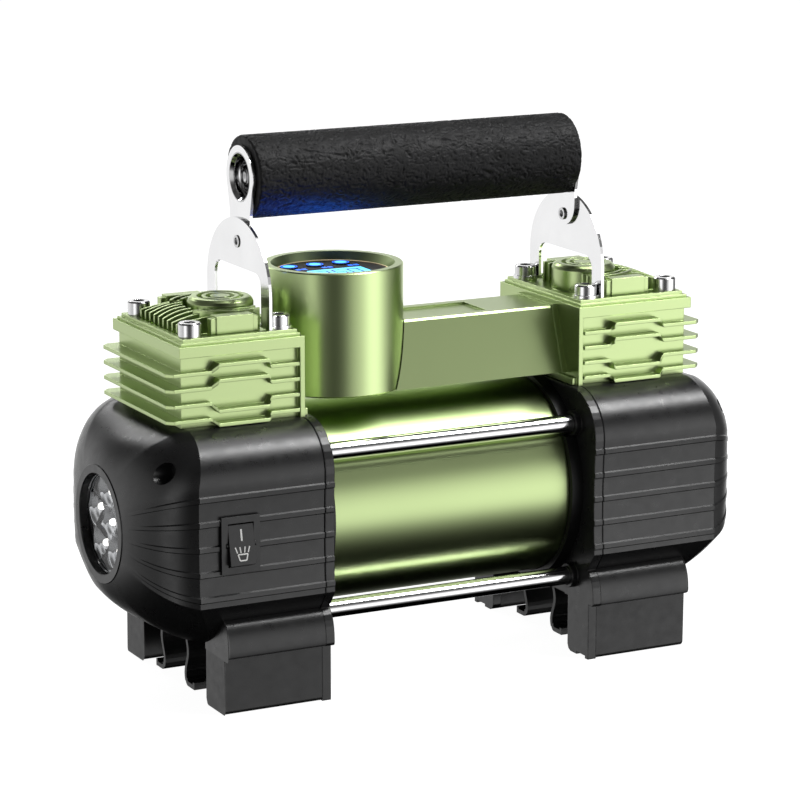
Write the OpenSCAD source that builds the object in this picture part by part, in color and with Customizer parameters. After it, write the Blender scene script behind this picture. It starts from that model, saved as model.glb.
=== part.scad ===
// Portable twin cylinder air compressor with a folding carry handle.
// Lengths are in millimetres. X runs along the motor shaft, Y points to the back and Z points up.
// The feet stand on the plane z = 0 and the motor shaft lies above the middle of the part.

/* [End housings] */
// distance from the middle plane to the inner face of each end housing
housing_inner_x = 54.2; // [50:0.1:70]
// length of each housing from its inner plate to the edge where the dome begins
housing_length = 49.5; // [49:0.1:55]
// length of each end dome
dome_length = 18.8; // [16:0.2:22]
// half width of the end housings across the front and back faces
housing_half_y = 49.1; // [48.6:0.1:50]
// height of the flat top, which carries the cylinder block, above the motor can
top_rise = 1; // [0.6:0.1:2.4]
// distance from the motor shaft up to the upper edge of the front and back faces
face_up = 21.6; // [20:0.1:24]
// distance from the motor shaft down to the lower edge of the front and back faces
face_down = 22.4; // [21.5:0.1:24]
// height of the underside between the feet
underside_z = 22; // [21:0.1:23]
// how far the front and back faces are dished in the middle
face_dish = 0.7; // [0:0.1:1.2]
// height of the small ribs along the front and back faces
rib_height = 0.5; // [0.2:0.05:0.6]
// thickness of the housing wall
housing_wall = 2.6; // [2:0.1:3]
// thickness of the plate that closes the inner side of each housing
inner_plate_t = 3.5; // [3:0.1:4]
// radius of the round rim at the end of each dome
dome_rim_r = 21.95; // [21:0.05:23]
// radius of the opening in the dome rim
dome_opening_r = 18.5; // [18.2:0.05:19.5]
// share of roundness in the dome, 0 is a straight cone
dome_bulge = 0.7; // [0.4:0.05:0.9]
// how much earlier the dome begins at the top edge than at the faces
dome_top_in = 5; // [3:0.5:7]
// how much earlier the dome begins at the underside than at the faces
dome_low_in = 12; // [8:0.5:13]

/* [Feet] */
// length of the foot blocks
foot_length = 39.1; // [34:0.1:42]
// how far the feet stand back from the faces of the housings
foot_in = 3.9; // [3:0.1:6]
// width of the foot blocks
foot_width = 15.5; // [13:0.1:17]
// height of the foot blocks under the shoulder lip
foot_height = 21.6; // [20:0.1:21.8]
// height of the rounded shoulder above each foot
shoulder_height = 35.4; // [34:0.1:36]
// how far the shoulder lips stand back from the faces of the housings
shoulder_in = 0.5; // [0.1:0.1:1.5]
// wall thickness of the hooks under the housings
hook_wall = 1.7; // [1.4:0.1:2.2]
// distance of the hooks from the centre line
hook_y = 11; // [9.5:0.1:14]
// gap between the hooks and the floor
hook_low_z = 1.9; // [1.5:0.1:6]

/* [Motor] */
// height of the motor shaft above the underside of the housings
axis_rise = 42.3; // [42:0.1:46]
// outer radius of the motor can
can_r = 38; // [36:0.1:38.4]
// wall thickness of the motor can
can_wall = 1.6; // [1.2:0.1:2]
// length of the dark ring between the can and each housing
seal_length = 4.7; // [3:0.1:6]
// radius of the armature
armature_r = 29; // [26:0.1:29.4]
// room at each end of the armature core for windings, commutator and brushes
winding_room = 24.5; // [22:0.5:28]
// length of the winding heads of the armature
winding_length = 8; // [6:0.5:10]
// radius of the motor shaft
shaft_r = 2.5; // [2:0.1:3]
// radius of the tie rods
rod_r = 3.4; // [2.8:0.1:3.8]
// gap between the motor can and the upper tie rods
rod_gap = 1.3; // [1:0.1:2]
// outer radius of the bearings of the motor shaft
bearing_r = 8; // [7:0.5:9]
// radius of the small bosses round the tie rod ends
rod_boss_r = 4.7; // [4.2:0.1:5.2]

/* [Gear drive] */
// size of the gear teeth, pitch diameter for each tooth
gear_module = 0.8; // [0.7:0.05:0.85]
// number of teeth on each motor pinion
pinion_teeth = 10; // [10:1:12]
// number of teeth on each crank gear
gear_teeth = 40; // [36:1:42]
// thickness of the gears
gear_t = 6; // [4:0.5:7]
// distance of the crank pin from the crank gear axis
crank_r = 6; // [4:0.5:7]
// radius of the crank pin
crank_pin_r = 4; // [3:0.1:4.5]

/* [Cylinders] */
// distance from the inner face of a housing to the inner face of its cylinder block
block_gap = 2.9; // [2.9:0.1:3.4]
// length of the cylinder block along the shaft
block_length = 49.15; // [48:0.05:49.5]
// half width of the block flange
block_half_y = 30.9; // [30:0.1:31.5]
// height of the cylinder block
block_height = 30; // [28:0.1:34]
// radius of the piston bore
bore_r = 16; // [14:0.1:16.5]
// wall thickness of the cylinder sleeve
sleeve_wall = 1.8; // [1.5:0.1:2.2]
// thickness of the cooling fins
fin_t = 1.3; // [1:0.1:1.6]
// distance between neighbouring cooling fins
fin_pitch = 5.7; // [5.4:0.1:5.9]
// height of the lowest cooling fin above the housing
fin_low = 2.9; // [2.4:0.1:3.4]
// offset of the middle part of each fin
fin_jog = 2.7; // [1.5:0.1:3]
// reach of the fins in front of the block core
fin_reach = 2.9; // [2:0.1:3.2]
// reach of the middle part of each fin beyond its ends
fin_bulge = 1.5; // [0.5:0.1:2]
// reach of the fins beside the block core
fin_side_reach = 6.2; // [4:0.1:6.5]
// height of the rim of the cylinder head
head_rim = 2.3; // [1.8:0.1:4]
// height of the piston
piston_height = 12; // [10:0.5:14]
// radius of the round cap on the cylinder head
cap_r = 12.2; // [10:0.1:12.6]
// height of the round cap on the cylinder head
cap_height = 10; // [8:0.1:11]
// height of the upright fins on the cylinder head
head_fin_height = 7.2; // [5.5:0.1:7.6]
// head diameter of the head bolts
bolt_head_d = 8.5; // [7.5:0.1:9]
// height of the tops of the head bolts above the head
bolt_rise = 5.1; // [4.6:0.1:6]

/* [Handle] */
// height of the handle pivots above the heads
pivot_rise = 28.4; // [27:0.1:34]
// distance from the pivots to the middle of the grip
arm_length = 23.5; // [22:0.1:32]
// outer radius of the foam grip
grip_r = 15.2; // [14:0.1:15.5]
// outer radius of the handle tube
tube_r = 9; // [8:0.1:9.5]
// wall thickness of the handle tube
tube_wall = 1.2; // [0.8:0.1:1.6]
// thickness of the handle arms
arm_t = 1.1; // [0.9:0.1:1.8]
// radius of the round top of the arms
arm_ring_r = 11.6; // [11:0.1:12.5]
// half width of the lower part of the arms
arm_half_y = 8.7; // [8:0.1:9.2]
// thickness of the standing brackets
bracket_t = 1.1; // [0.9:0.1:1.5]
// radius of the pivot pins
pin_r = 1.8; // [1.5:0.1:2]
// radius of the heads of the pivot pins
pin_head_r = 2.3; // [2.2:0.1:3]
// half width of the standing brackets
bracket_half_y = 27.6; // [26.5:0.1:28]
// distance from the inner face of a block to its standing bracket
bracket_place = 11.3; // [10.8:0.1:11.6]
// height of the top of the standing brackets above the pivots
bracket_rise = 8.7; // [7:0.1:10]
// distance from the pivot down to the opening in the left bracket
left_window_drop = 9.3; // [8:0.1:14]
// distance from the pivot down to the opening in the right bracket
right_window_drop = 13.8; // [8:0.1:16]

/* [Gauge tower] */
// outer radius of the tower
tower_r = 26.2; // [25.8:0.1:28]
// height of the tower
tower_height = 46.2; // [44:0.1:46.5]
// gap between the housing top and the underside of the tower
tower_gap = 3.8; // [3.4:0.1:5]
// inner radius of the tower rim
rim_inner_r = 23.1; // [22.6:0.1:25]
// radius of the display panel
panel_r = 21.4; // [20.5:0.1:21.6]
// depth of the display panel below the tower rim
panel_depth = 3.3; // [2:0.1:5]
// length of the display screen
screen_w = 22; // [18:0.5:24]
// width of the display screen
screen_d = 14; // [10:0.5:15]
// radius of the display buttons
button_r = 3.3; // [2.8:0.1:3.4]
// distance between neighbouring buttons
button_pitch = 10.7; // [9.5:0.1:10.8]
// how far each button can be pressed
button_travel = 0.6; // [0.3:0.1:0.8]
// half width of the top of the air bridge
bridge_top_half_y = 12.8; // [11:0.1:14]
// half width of the bottom of the air bridge
bridge_low_half_y = 21.5; // [19:0.1:22]
// height of the air bridge
bridge_height = 24.3; // [20:0.1:25]

/* [Lamp and switch] */
// depth of the lamp lens behind the dome rim
lens_depth = 2.6; // [1.5:0.1:5]
// number of lamp cups round the middle one
lamp_cups = 5; // [4:1:6]
// distance from the inner plate to the centre of the switch
switch_place = 34; // [30:0.1:38]
// width of the switch frame
switch_w = 15; // [13:0.5:16]
// height of the switch frame
switch_h = 21; // [19:0.5:22]
// how far the raised end of the rocker stands in front of the housing face
rocker_reach = 3.3; // [2.6:0.1:3.6]

/* [Hidden] */
$fn = 64;

// gap between round parts that do not turn in each other
clear = 0.3;
// gap between round parts that turn or slide in each other
run = 0.06;
// gap between parts that are pushed onto each other
fit = 0.1;
// small overlap that makes cuts pass right through a face
cut = 1;
// inner side of the moulded shell, next to the inner plate
shell_x = housing_inner_x + inner_plate_t;
// heights of the motor shaft, the housing top and the edges of the faces
motor_z = underside_z + axis_rise;
housing_top_z = motor_z + can_r + top_rise;
face_upper_z = motor_z + face_up;
face_lower_z = motor_z - face_down;
// outer and inner faces of the feet and the reach of the shoulder lip
foot_outer_y = housing_half_y - foot_in;
foot_inner_y = foot_outer_y - foot_width;
shoulder_y = housing_half_y - shoulder_in;
// places of the edges of housings, domes, feet and can along the shaft
housing_corner_x = shell_x + housing_length;
dome_rim_x = housing_corner_x + dome_length;
foot_outer_x = shell_x + foot_length;
can_half = housing_inner_x - seal_length;
// half length of the iron core of the armature
core_half_x = can_half - winding_room;
// places of the cylinder blocks and their bores
block_inner_x = housing_inner_x + block_gap;
block_outer_x = block_inner_x + block_length;
bore_x = (block_inner_x + block_outer_x) / 2;
// heights of block, head, cap and bolts
block_top_z = housing_top_z + block_height;
fin_low_z = housing_top_z + fin_low;
head_top_z = block_top_z + head_rim;
bolt_top_z = head_top_z + bolt_rise;
// corners of the lower edge of the housing
low_a = [housing_half_y - 5.6, face_lower_z - 7.9];
low_b = [housing_half_y - 14.1, underside_z + 5];
low_c = [housing_half_y - 22.1, underside_z];
// underside of the cylinder block
block_low_z = housing_top_z;
// half width of the block core behind the fins
core_half_y = block_half_y - 2.5;
// outer side of the block core
core_outer_x = block_outer_x - 1.45;
// floor of the shallow pocket in the head
head_floor_z = head_top_z - 1;
cap_top_z = head_floor_z + cap_height;
// heights of the handle pivots, the grip, the brackets and their openings
pivot_z = head_top_z + pivot_rise;
grip_z = pivot_z + arm_length;
bracket_top_z = pivot_z + bracket_rise;
left_window_z = pivot_z - left_window_drop;
right_window_z = pivot_z - right_window_drop;
// places of the tower, its display and the air bridge
tower_x = block_inner_x - tower_r - 0.1;
tower_low_z = housing_top_z + tower_gap;
tower_top_z = tower_low_z + tower_height;
panel_z = tower_top_z - panel_depth;
bridge_top_z = tower_low_z + bridge_height;
pipe_z = (tower_low_z + bridge_top_z) / 2;
// places of lamp lens and switch
lens_x = dome_rim_x - lens_depth;
switch_x = shell_x + switch_place;
// distance between motor shaft and crank gear axis
gear_distance = gear_module * (pinion_teeth + gear_teeth) / 2;
crank_z = motor_z - gear_distance;
// place of the gears along the shaft
gear_x = shell_x + 8.3;
// middle of the crank pin at the top of the stroke
pin_z = crank_z + crank_r;
// thickness and place of the connecting rod
con_rod_t = 7;
// top of the piston at the top of the stroke
piston_top_z = block_top_z - 0.7;
// inner faces of brackets and arms, and half the length of the grip between them
bracket_x = block_inner_x + bracket_place;
arm_x = bracket_x - arm_t - 0.1;
grip_half = arm_x - 0.3;
// sizes of the cast frame inside the housing
frame_t = 5;
frame_low_z = underside_z + 5;
frame_top_z = housing_top_z - housing_wall - 0.3;
frame_half_y = bore_r + 10;
sleeve_low_z = frame_top_z - 8.4;
// places of the head bolts
bolt_in_x = bracket_x - bolt_head_d / 2 - 0.1;
bolt_out_x = block_outer_x - 7.4;
bolt_y = block_half_y - 7.6;
// places of the tie rods
rod_up_r = can_r + rod_r + rod_gap;
rod_low_r = rod_up_r + 4.2;
rod_up_y = rod_up_r * cos(37.3);
rod_up_z = motor_z + rod_up_r * sin(37.3);
rod_low_y = rod_low_r * cos(46.2);
rod_low_z = motor_z - rod_low_r * sin(46.2);
// centre of the cap on the cylinder head
cap_x = block_inner_x + 19.4;
// back end of the lamp
lamp_back_x = lens_x - 10.5;
// radius of the tower pocket and of the ledge that carries the display board
pocket_r = panel_r + clear;
ledge_r = panel_r - 1.2;
ledge_z = panel_z - 7.6;
// radius of the hinge studs of the rocker
stud_r = 1.2;
// rib places on the front and back faces
rib_count = 5;
rib_step = (face_upper_z - face_lower_z - 7.4) / (rib_count - 1);
rib_low = face_lower_z + 3.2;
rib_half = 0.9;

// y of the dished face at height z
function face_y(z) =
    housing_half_y - face_dish * (1 - pow((z - (face_upper_z + face_lower_z) / 2)
    / ((face_upper_z - face_lower_z) / 2), 2));

// outline of one half of the housing in y and z, from the top edge to the underside
// r is the rib height and s the amount the outline is drawn inwards
function arc_points(s) = [for (a = [90:-9:-0.1])
    [block_half_y - s + (housing_half_y - block_half_y) * cos(a),
    face_upper_z - s * 0.4 + (housing_top_z - face_upper_z - s * 0.6) * sin(a)]];
function rib_points(r) = [for (i = [rib_count - 1:-1:0])
    for (k = [0:3])
        let (z = rib_low + i * rib_step + [1.25, 1, -1, -1.25][k] * rib_half)
        [face_y(z) + (k == 1 || k == 2 ? r : 0), z]];
function low_points() = [[housing_half_y, face_lower_z], low_a, low_b, low_c];
function top_points() = [for (k = [1, 3]) [block_half_y * k / 6, housing_top_z]];
function under_points() = [for (k = [3, 1]) [low_c[0] * k / 6, underside_z]];
function half_outline(r) = concat(top_points(), arc_points(0), rib_points(r), low_points(),
    under_points());
function flip(p) = [for (i = [len(p) - 1:-1:0]) [-p[i][0], p[i][1]]];
function outline(r) = concat(half_outline(r), flip(half_outline(r)));

// inner outline of the hollow housing
function half_hollow(s) = concat(
    [for (a = [90:-15:0]) [block_half_y + (housing_half_y - s - block_half_y) * cos(a),
    face_upper_z + (housing_top_z - s - face_upper_z) * sin(a)]],
    [[housing_half_y - s - face_dish, (face_upper_z + face_lower_z) / 2],
    [housing_half_y - s, face_lower_z + s * 0.4],
    low_a + [-s, s * 0.5], low_b + [-s * 0.8, s * 0.7], low_c + [-s * 0.5, s]]);
function hollow_outline(s) = concat(half_hollow(s), flip(half_hollow(s)));

// the same with a higher floor, for the place where the dome closes in from below
high_edge = [housing_half_y - 9.1, underside_z + 13];
function half_high(s) = concat([for (p = half_hollow(s)) if (p[1] > high_edge[1] + 1) p],
    [high_edge + [-s, 0]]);
function high_outline(s) = concat(half_high(s), flip(half_high(s)));

// rings of points for the dome: t runs from 0 at the corner edge to 1 at the rim
dome_steps = 12;
function grow(t) = (1 - dome_bulge) * t + dome_bulge * sin(90 * t);
function shrink(t) = (1 - dome_bulge) * t + dome_bulge * (1 - cos(90 * t));
function on_rim(p) = let (a = atan2(p[1] - motor_z, p[0]))
    [dome_rim_r * cos(a), motor_z + dome_rim_r * sin(a)];
function dome_start(z) = housing_corner_x
    - dome_top_in * max(0, (z - face_upper_z) / (housing_top_z - face_upper_z))
    - dome_low_in * max(0, (face_lower_z - z) / (face_lower_z - underside_z));
function dome_ring(t) = let (o = outline(rib_height * max(0, 1 - pow(t, 4))), f = shrink(t))
    [for (p = o) let (q = on_rim(p), x0 = dome_start(p[1]))
    [x0 + (dome_rim_x - x0) * grow(t), p[0] + (q[0] - p[0]) * f, p[1] + (q[1] - p[1]) * f]];
function start_ring() = [for (p = outline(rib_height)) [shell_x - cut, p[0], p[1]]];

function ring_faces(n, rings) = concat(
    [for (i = [0:n - 1]) [(i + 1) % n, i, n * rings]],
    [for (i = [0:n - 1]) [(rings - 1) * n + i, (rings - 1) * n + (i + 1) % n, n * rings + 1]],
    [for (k = [0:rings - 2]) for (i = [0:n - 1]) let (j = (i + 1) % n)
        [k * n + i, k * n + j, (k + 1) * n + j]],
    [for (k = [0:rings - 2]) for (i = [0:n - 1]) let (j = (i + 1) % n)
        [k * n + i, (k + 1) * n + j, (k + 1) * n + i]]);

// closed body of the end housing with ribs that run on over the dome
module housing_body() {
    n = len(outline(0));
    rings = concat([start_ring()], [for (i = [0:dome_steps]) dome_ring(i / dome_steps)]);
    pts = concat([for (g = rings) for (p = g) p],
        [[shell_x - cut, 0, motor_z], [dome_rim_x, 0, motor_z]]);
    polyhedron(points = pts, faces = ring_faces(n, dome_steps + 2), convexity = 6);
}

// turns a flat outline given in y and z into a slab along x
module along_x(x0, length) {
    translate([x0, 0, 0])
        rotate([90, 0, 90])
            linear_extrude(length)
                children();
}

// turns a flat outline given in x and z into a slab along y
module along_y(y0, length) {
    translate([0, y0 + length, 0])
        rotate([90, 0, 0])
            linear_extrude(length)
                children();
}

// round bar along x
module bar_x(x0, length, r) {
    translate([x0, 0, 0])
        rotate([0, 90, 0])
            cylinder(h = length, r = r);
}

// outline of the rounded shoulder over a foot, on the side of positive y
module shoulder_outline() {
    a = 6.8;
    b = shoulder_height - foot_height - 1;
    polygon(concat(
        [[foot_inner_y - 2.7, foot_height], [shoulder_y - 0.4, foot_height]],
        [for (t = [0:12.5:125]) [shoulder_y - a + a * sign(cos(t)) * pow(abs(cos(t)), 0.9),
        foot_height + 1 + b * pow(sin(t), 0.85)]],
        [[foot_inner_y + 0.3, foot_height + 8.4]]));
}

// outline of a hook: a wavy wall with a lip at its lower end
module hook_outline() {
    rise = (underside_z - hook_low_z - 1.5) / 12;
    polygon(concat(
        [for (k = [12:-1:0])
            [hook_y + 1.3 * cos(31 * k - 237) + hook_wall / 2, underside_z - (12 - k) * rise]],
        [for (k = [0:12])
            [hook_y + 1.3 * cos(31 * k - 237) - hook_wall / 2, underside_z - (12 - k) * rise]]));
    translate([hook_y + 1.2, hook_low_z + 2.5])
        difference() {
            circle(r = 2.5, $fn = 32);
            circle(r = 2.5 - hook_wall, $fn = 32);
            translate([0, -3])
                square([4, 8]);
            translate([-4.6, 0.4])
                square([8, 4]);
        }
    translate([hook_y + 1.2, hook_low_z])
        square([5.6, hook_wall]);
    translate([hook_y + 5.4, hook_low_z])
        square([1.4, 2.7]);
}

// outer shell of one end housing with the dome, hollow inside
module housing_shell() {
    difference() {
        union() {
            housing_body();
            for (s = [0, 1])
                mirror([0, s, 0])
                    along_x(shell_x - cut, foot_outer_x - shell_x + cut)
                        shoulder_outline();
        }
        translate([shell_x - 20, -100, -10])
            cube([20, 200, 200]);
        along_x(shell_x - 2 * cut, housing_corner_x - dome_low_in - shell_x + 2 * cut)
            polygon(hollow_outline(housing_wall));
        along_x(housing_corner_x - dome_low_in - 6, dome_low_in + 3)
            polygon(high_outline(housing_wall + 0.2));
        translate([housing_corner_x - 3 - 0.01, 0, motor_z])
            rotate([0, 90, 0])
                cylinder(h = lamp_back_x - housing_corner_x + 2.4, r1 = dome_opening_r + 11.5,
                    r2 = dome_opening_r - 1);
        translate([bore_x, 0, housing_top_z - housing_wall - cut])
            cylinder(h = housing_wall + 2 * cut, r = bore_r + sleeve_wall + clear);
        for (s = [0, 1])
            mirror([0, s, 0])
                translate([housing_corner_x + 7.3, housing_half_y - 9.1, face_upper_z + 4.1])
                    rotate([0, 65, 31])
                        translate([0, 0, -6])
                            cylinder(h = 20, r = 4.1, $fn = 32);
    }
}

// two hooks under one housing
module hooks() {
    color("#2b2b2b")
        for (s = [0, 1])
            mirror([0, s, 0])
                along_x(shell_x + 0.6, foot_length - 0.8)
                    hook_outline();
}

module left_hooks() {
    mirror([1, 0, 0])
        hooks();
}

module right_hooks() {
    hooks();
}

module left_housing() {
    color("#262626")
        mirror([1, 0, 0])
            difference() {
                housing_shell();
                translate([lamp_back_x, 0, motor_z])
                    rotate([0, 90, 0])
                        cylinder(h = dome_rim_x - lamp_back_x + cut, r = dome_opening_r);
                translate([lamp_back_x - 2, 0, motor_z])
                    rotate([0, 90, 0])
                        cylinder(h = 3, r = dome_opening_r - 1);
                translate([switch_x, -housing_half_y, motor_z])
                    cube([switch_w - 1.8, 14, switch_h - 1.8], center = true);
            }
}

module right_housing() {
    color("#262626")
        difference() {
            housing_shell();
            translate([dome_rim_x - 1.2, 0, motor_z])
                rotate([0, 90, 0])
                    cylinder(h = 1.2 + cut, r = dome_opening_r);
            translate([bore_x, housing_half_y - 8, motor_z])
                rotate([-90, 0, 0])
                    cylinder(h = 12, r = 5.3);
            translate([bore_x + 12, housing_half_y - 8, 50])
                rotate([-90, 0, 0])
                    cylinder(h = 12, r = 4.3);
        }
}

// plate that closes the inner side of a housing, with its share of feet and shoulders
module inner_plate() {
    difference() {
        union() {
            along_x(housing_inner_x, inner_plate_t)
                polygon(outline(rib_height));
            for (s = [0, 1])
                mirror([0, s, 0]) {
                    along_x(housing_inner_x, inner_plate_t)
                        union() {
                            shoulder_outline();
                            difference() {
                                polygon([[foot_inner_y, foot_height + 0.5], [foot_inner_y, 2.4],
                                    [foot_inner_y + 0.8, 0.7], [foot_inner_y + 2.4, 0],
                                    [foot_outer_y, 0], [foot_outer_y, foot_height + 0.5]]);
                                translate([foot_outer_y - 8.6, -cut])
                                    square([6.4, 1 + cut]);
                            }
                        }
                    translate([0, rod_up_y, rod_up_z])
                        bar_x(housing_inner_x - 2.3, 2.8, rod_boss_r);
                    translate([0, rod_low_y, rod_low_z])
                        bar_x(housing_inner_x - 2.3, 2.8, rod_boss_r);
                }
        }
        translate([0, 0, motor_z])
            bar_x(housing_inner_x - cut, inner_plate_t + 2 * cut, 12);
        for (s = [0, 1])
            mirror([0, s, 0]) {
                translate([0, rod_up_y, rod_up_z])
                    bar_x(housing_inner_x - 3, inner_plate_t + 6, rod_r + clear);
                translate([0, rod_low_y, rod_low_z])
                    bar_x(housing_inner_x - 3, inner_plate_t + 6, rod_r + clear);
            }
    }
}

module left_inner_plate() {
    color("#232323")
        mirror([1, 0, 0])
            inner_plate();
}

module right_inner_plate() {
    color("#232323")
        inner_plate();
}

// foot block under the shoulder at the side of negative y
module foot() {
    color("#2b2b2b")
        along_x(shell_x, foot_outer_x - shell_x)
            polygon([[-foot_outer_y, 0], [-foot_outer_y, foot_height], [-foot_inner_y, foot_height],
                [-foot_inner_y, 2.4], [-foot_inner_y - 0.8, 0.7], [-foot_inner_y - 2.4, 0]]);
}

module foot_front_left() {
    mirror([1, 0, 0])
        foot();
}

module foot_back_left() {
    mirror([1, 0, 0])
        mirror([0, 1, 0])
            foot();
}

module foot_front_right() {
    foot();
}

module foot_back_right() {
    mirror([0, 1, 0])
        foot();
}

// motor can, open at both ends
module motor_can() {
    color("#9fb56e")
        translate([0, 0, motor_z])
            difference() {
                bar_x(-can_half - 2, 2 * can_half + 4, can_r);
                bar_x(-can_half - 3, 2 * can_half + 6, can_r - can_wall);
            }
}

// ring between the can end and the housing
module can_seal() {
    color("#1b1b1b")
        translate([0, 0, motor_z])
            difference() {
                bar_x(can_half, housing_inner_x - can_half, can_r + 2.4);
                bar_x(can_half - cut, housing_inner_x - can_half + 2 * cut, can_r - can_wall - 3);
                bar_x(can_half - cut, 2.3 + cut, can_r + clear);
                for (s = [0, 1])
                    mirror([0, s, 0])
                        translate([0, rod_up_y, rod_up_z - motor_z])
                            bar_x(can_half - cut, 8, rod_boss_r + clear);
            }
}

module left_can_seal() {
    mirror([1, 0, 0])
        can_seal();
}

module right_can_seal() {
    can_seal();
}

// two curved magnets inside the can
module motor_magnets() {
    color("#3c3c42")
        translate([0, 0, motor_z])
            for (s = [0, 1])
                mirror([0, s, 0])
                    difference() {
                        bar_x(-core_half_x - 1, 2 * core_half_x + 2, can_r - can_wall - clear);
                        bar_x(-core_half_x - 2, 2 * core_half_x + 4, armature_r + 1.2);
                        translate([-core_half_x - 2, -can_r - 2, -can_r - 2])
                            cube([2 * core_half_x + 4, can_r + 8, 2 * can_r + 4]);
                    }
}

// slotted iron core with the winding heads at both ends
module armature() {
    color("#a8672f")
        translate([0, 0, motor_z])
            difference() {
                union() {
                    bar_x(-core_half_x, 2 * core_half_x, armature_r);
                    bar_x(-core_half_x - winding_length, 2 * (core_half_x + winding_length), armature_r - 5);
                }
                bar_x(-can_half, 2 * can_half, shaft_r + run);
                for (i = [0:11])
                    rotate([i * 30, 0, 0])
                        translate([-core_half_x - 1, -1.2, armature_r - 4])
                            cube([2 * core_half_x + 2, 2.4, 6]);
            }
}

module commutator() {
    color("#b5723a")
        translate([0, 0, motor_z])
            difference() {
                bar_x(3.5 - can_half, 11, 10);
                bar_x(2.5 - can_half, 13, shaft_r + run);
                for (i = [0:11])
                    rotate([i * 30, 0, 0])
                        translate([2.5 - can_half, -0.3, 8.8])
                            cube([12, 0.6, 3]);
            }
}

// motor shaft that carries both pinions
module motor_shaft() {
    color("#b9bbbd")
        translate([0, 0, motor_z])
            bar_x(-gear_x - gear_t - 1, 2 * (gear_x + gear_t + 1), shaft_r);
}

// plate with the two carbon brushes
module brush_plate() {
    color("#5b4a35")
        translate([0, 0, motor_z]) {
            difference() {
                bar_x(-can_half, 3, can_r - can_wall - clear);
                bar_x(-can_half - 0.5, 5, 12);
            }
            for (s = [0, 1])
                mirror([0, s, 0])
                    translate([1.5 - can_half, 10.4, -3])
                        cube([7, 12, 6]);
        }
}

// ball bearing of the motor shaft
module bearing() {
    color("#c4c6c8")
        translate([0, 0, motor_z])
            difference() {
                bar_x(shell_x + 0.3, frame_t, bearing_r);
                bar_x(shell_x - cut, 8, shaft_r + run);
                difference() {
                    bar_x(shell_x + 4.8, 2, bearing_r - 1.4);
                    bar_x(shell_x + 4, 4, bearing_r - 3.4);
                }
            }
}

module left_bearing() {
    mirror([1, 0, 0])
        bearing();
}

module right_bearing() {
    bearing();
}

// flat outline of a gear with a tooth on the first axis
module gear_outline(teeth) {
    r = gear_module * teeth / 2;
    w = 90 / teeth;
    polygon([for (i = [0:teeth - 1]) for (k = [0:3])
        let (a = 360 * i / teeth + [-1.25, -0.55, 0.55, 1.25][k] * w,
        q = (k == 1 || k == 2) ? r + 0.85 * gear_module : r - 1.15 * gear_module)
        [q * cos(a), q * sin(a)]]);
}

module pinion() {
    color("#d0b25a")
        translate([0, 0, motor_z])
            difference() {
                along_x(gear_x, gear_t)
                    rotate([0, 0, 270])
                        gear_outline(pinion_teeth);
                bar_x(gear_x - cut, gear_t + 2 * cut, shaft_r + run);
            }
}

module left_pinion() {
    mirror([1, 0, 0])
        pinion();
}

module right_pinion() {
    pinion();
}

// crank gear with its crank disc
module crank_gear() {
    color("#c9cbcd")
        translate([0, 0, crank_z])
            difference() {
                union() {
                    along_x(gear_x, gear_t)
                        rotate([0, 0, 90 + 180 / gear_teeth])
                            gear_outline(gear_teeth);
                    bar_x(gear_x + gear_t, 3.2, crank_r + 5);
                }
                bar_x(gear_x - cut, gear_t + 6, 3 + run);
                for (i = [0:4])
                    rotate([36 + i * 72, 0, 0])
                        translate([0, 0, 9])
                            bar_x(gear_x - cut, gear_t + cut + 0.01, 2);
            }
}

module left_gear() {
    mirror([1, 0, 0])
        crank_gear();
}

module right_gear() {
    crank_gear();
}

// connecting rod with the crank pin in its lower eye
module con_rod() {
    color("#bfc2c4")
        difference() {
            union() {
                translate([0, 0, pin_z])
                    bar_x(bore_x - con_rod_t / 2, con_rod_t, crank_pin_r + 5);
                translate([0, 0, pin_z])
                    bar_x(gear_x + gear_t + 3.5, bore_x - gear_x - gear_t - 3.5, crank_pin_r);
                along_x(bore_x - con_rod_t / 2, con_rod_t)
                    polygon([[-7, pin_z + 3], [7, pin_z + 3], [4.5, piston_top_z - piston_height],
                        [-4.5, piston_top_z - piston_height]]);
            }
            along_x(bore_x + 1.4, 4)
                polygon([[-3.6, pin_z + 13], [3.6, pin_z + 13], [2, piston_top_z - piston_height - 8],
                    [-2, piston_top_z - piston_height - 8]]);
        }
}

module left_con_rod() {
    mirror([1, 0, 0])
        con_rod();
}

module right_con_rod() {
    con_rod();
}

// piston with a groove for its seal
module piston() {
    color("#d7d9da")
        translate([bore_x, 0, 0])
            difference() {
                translate([0, 0, piston_top_z - piston_height])
                    cylinder(h = piston_height, r = bore_r);
                translate([0, 0, piston_top_z - 5])
                    difference() {
                        cylinder(h = 2, r = bore_r + 1);
                        cylinder(h = 2, r = bore_r - 1);
                    }
                translate([0, 0, piston_top_z - 3 + 0.01])
                    cylinder(h = 4, r = 3);
            }
}

module left_piston() {
    mirror([1, 0, 0])
        piston();
}

module right_piston() {
    piston();
}

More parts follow.
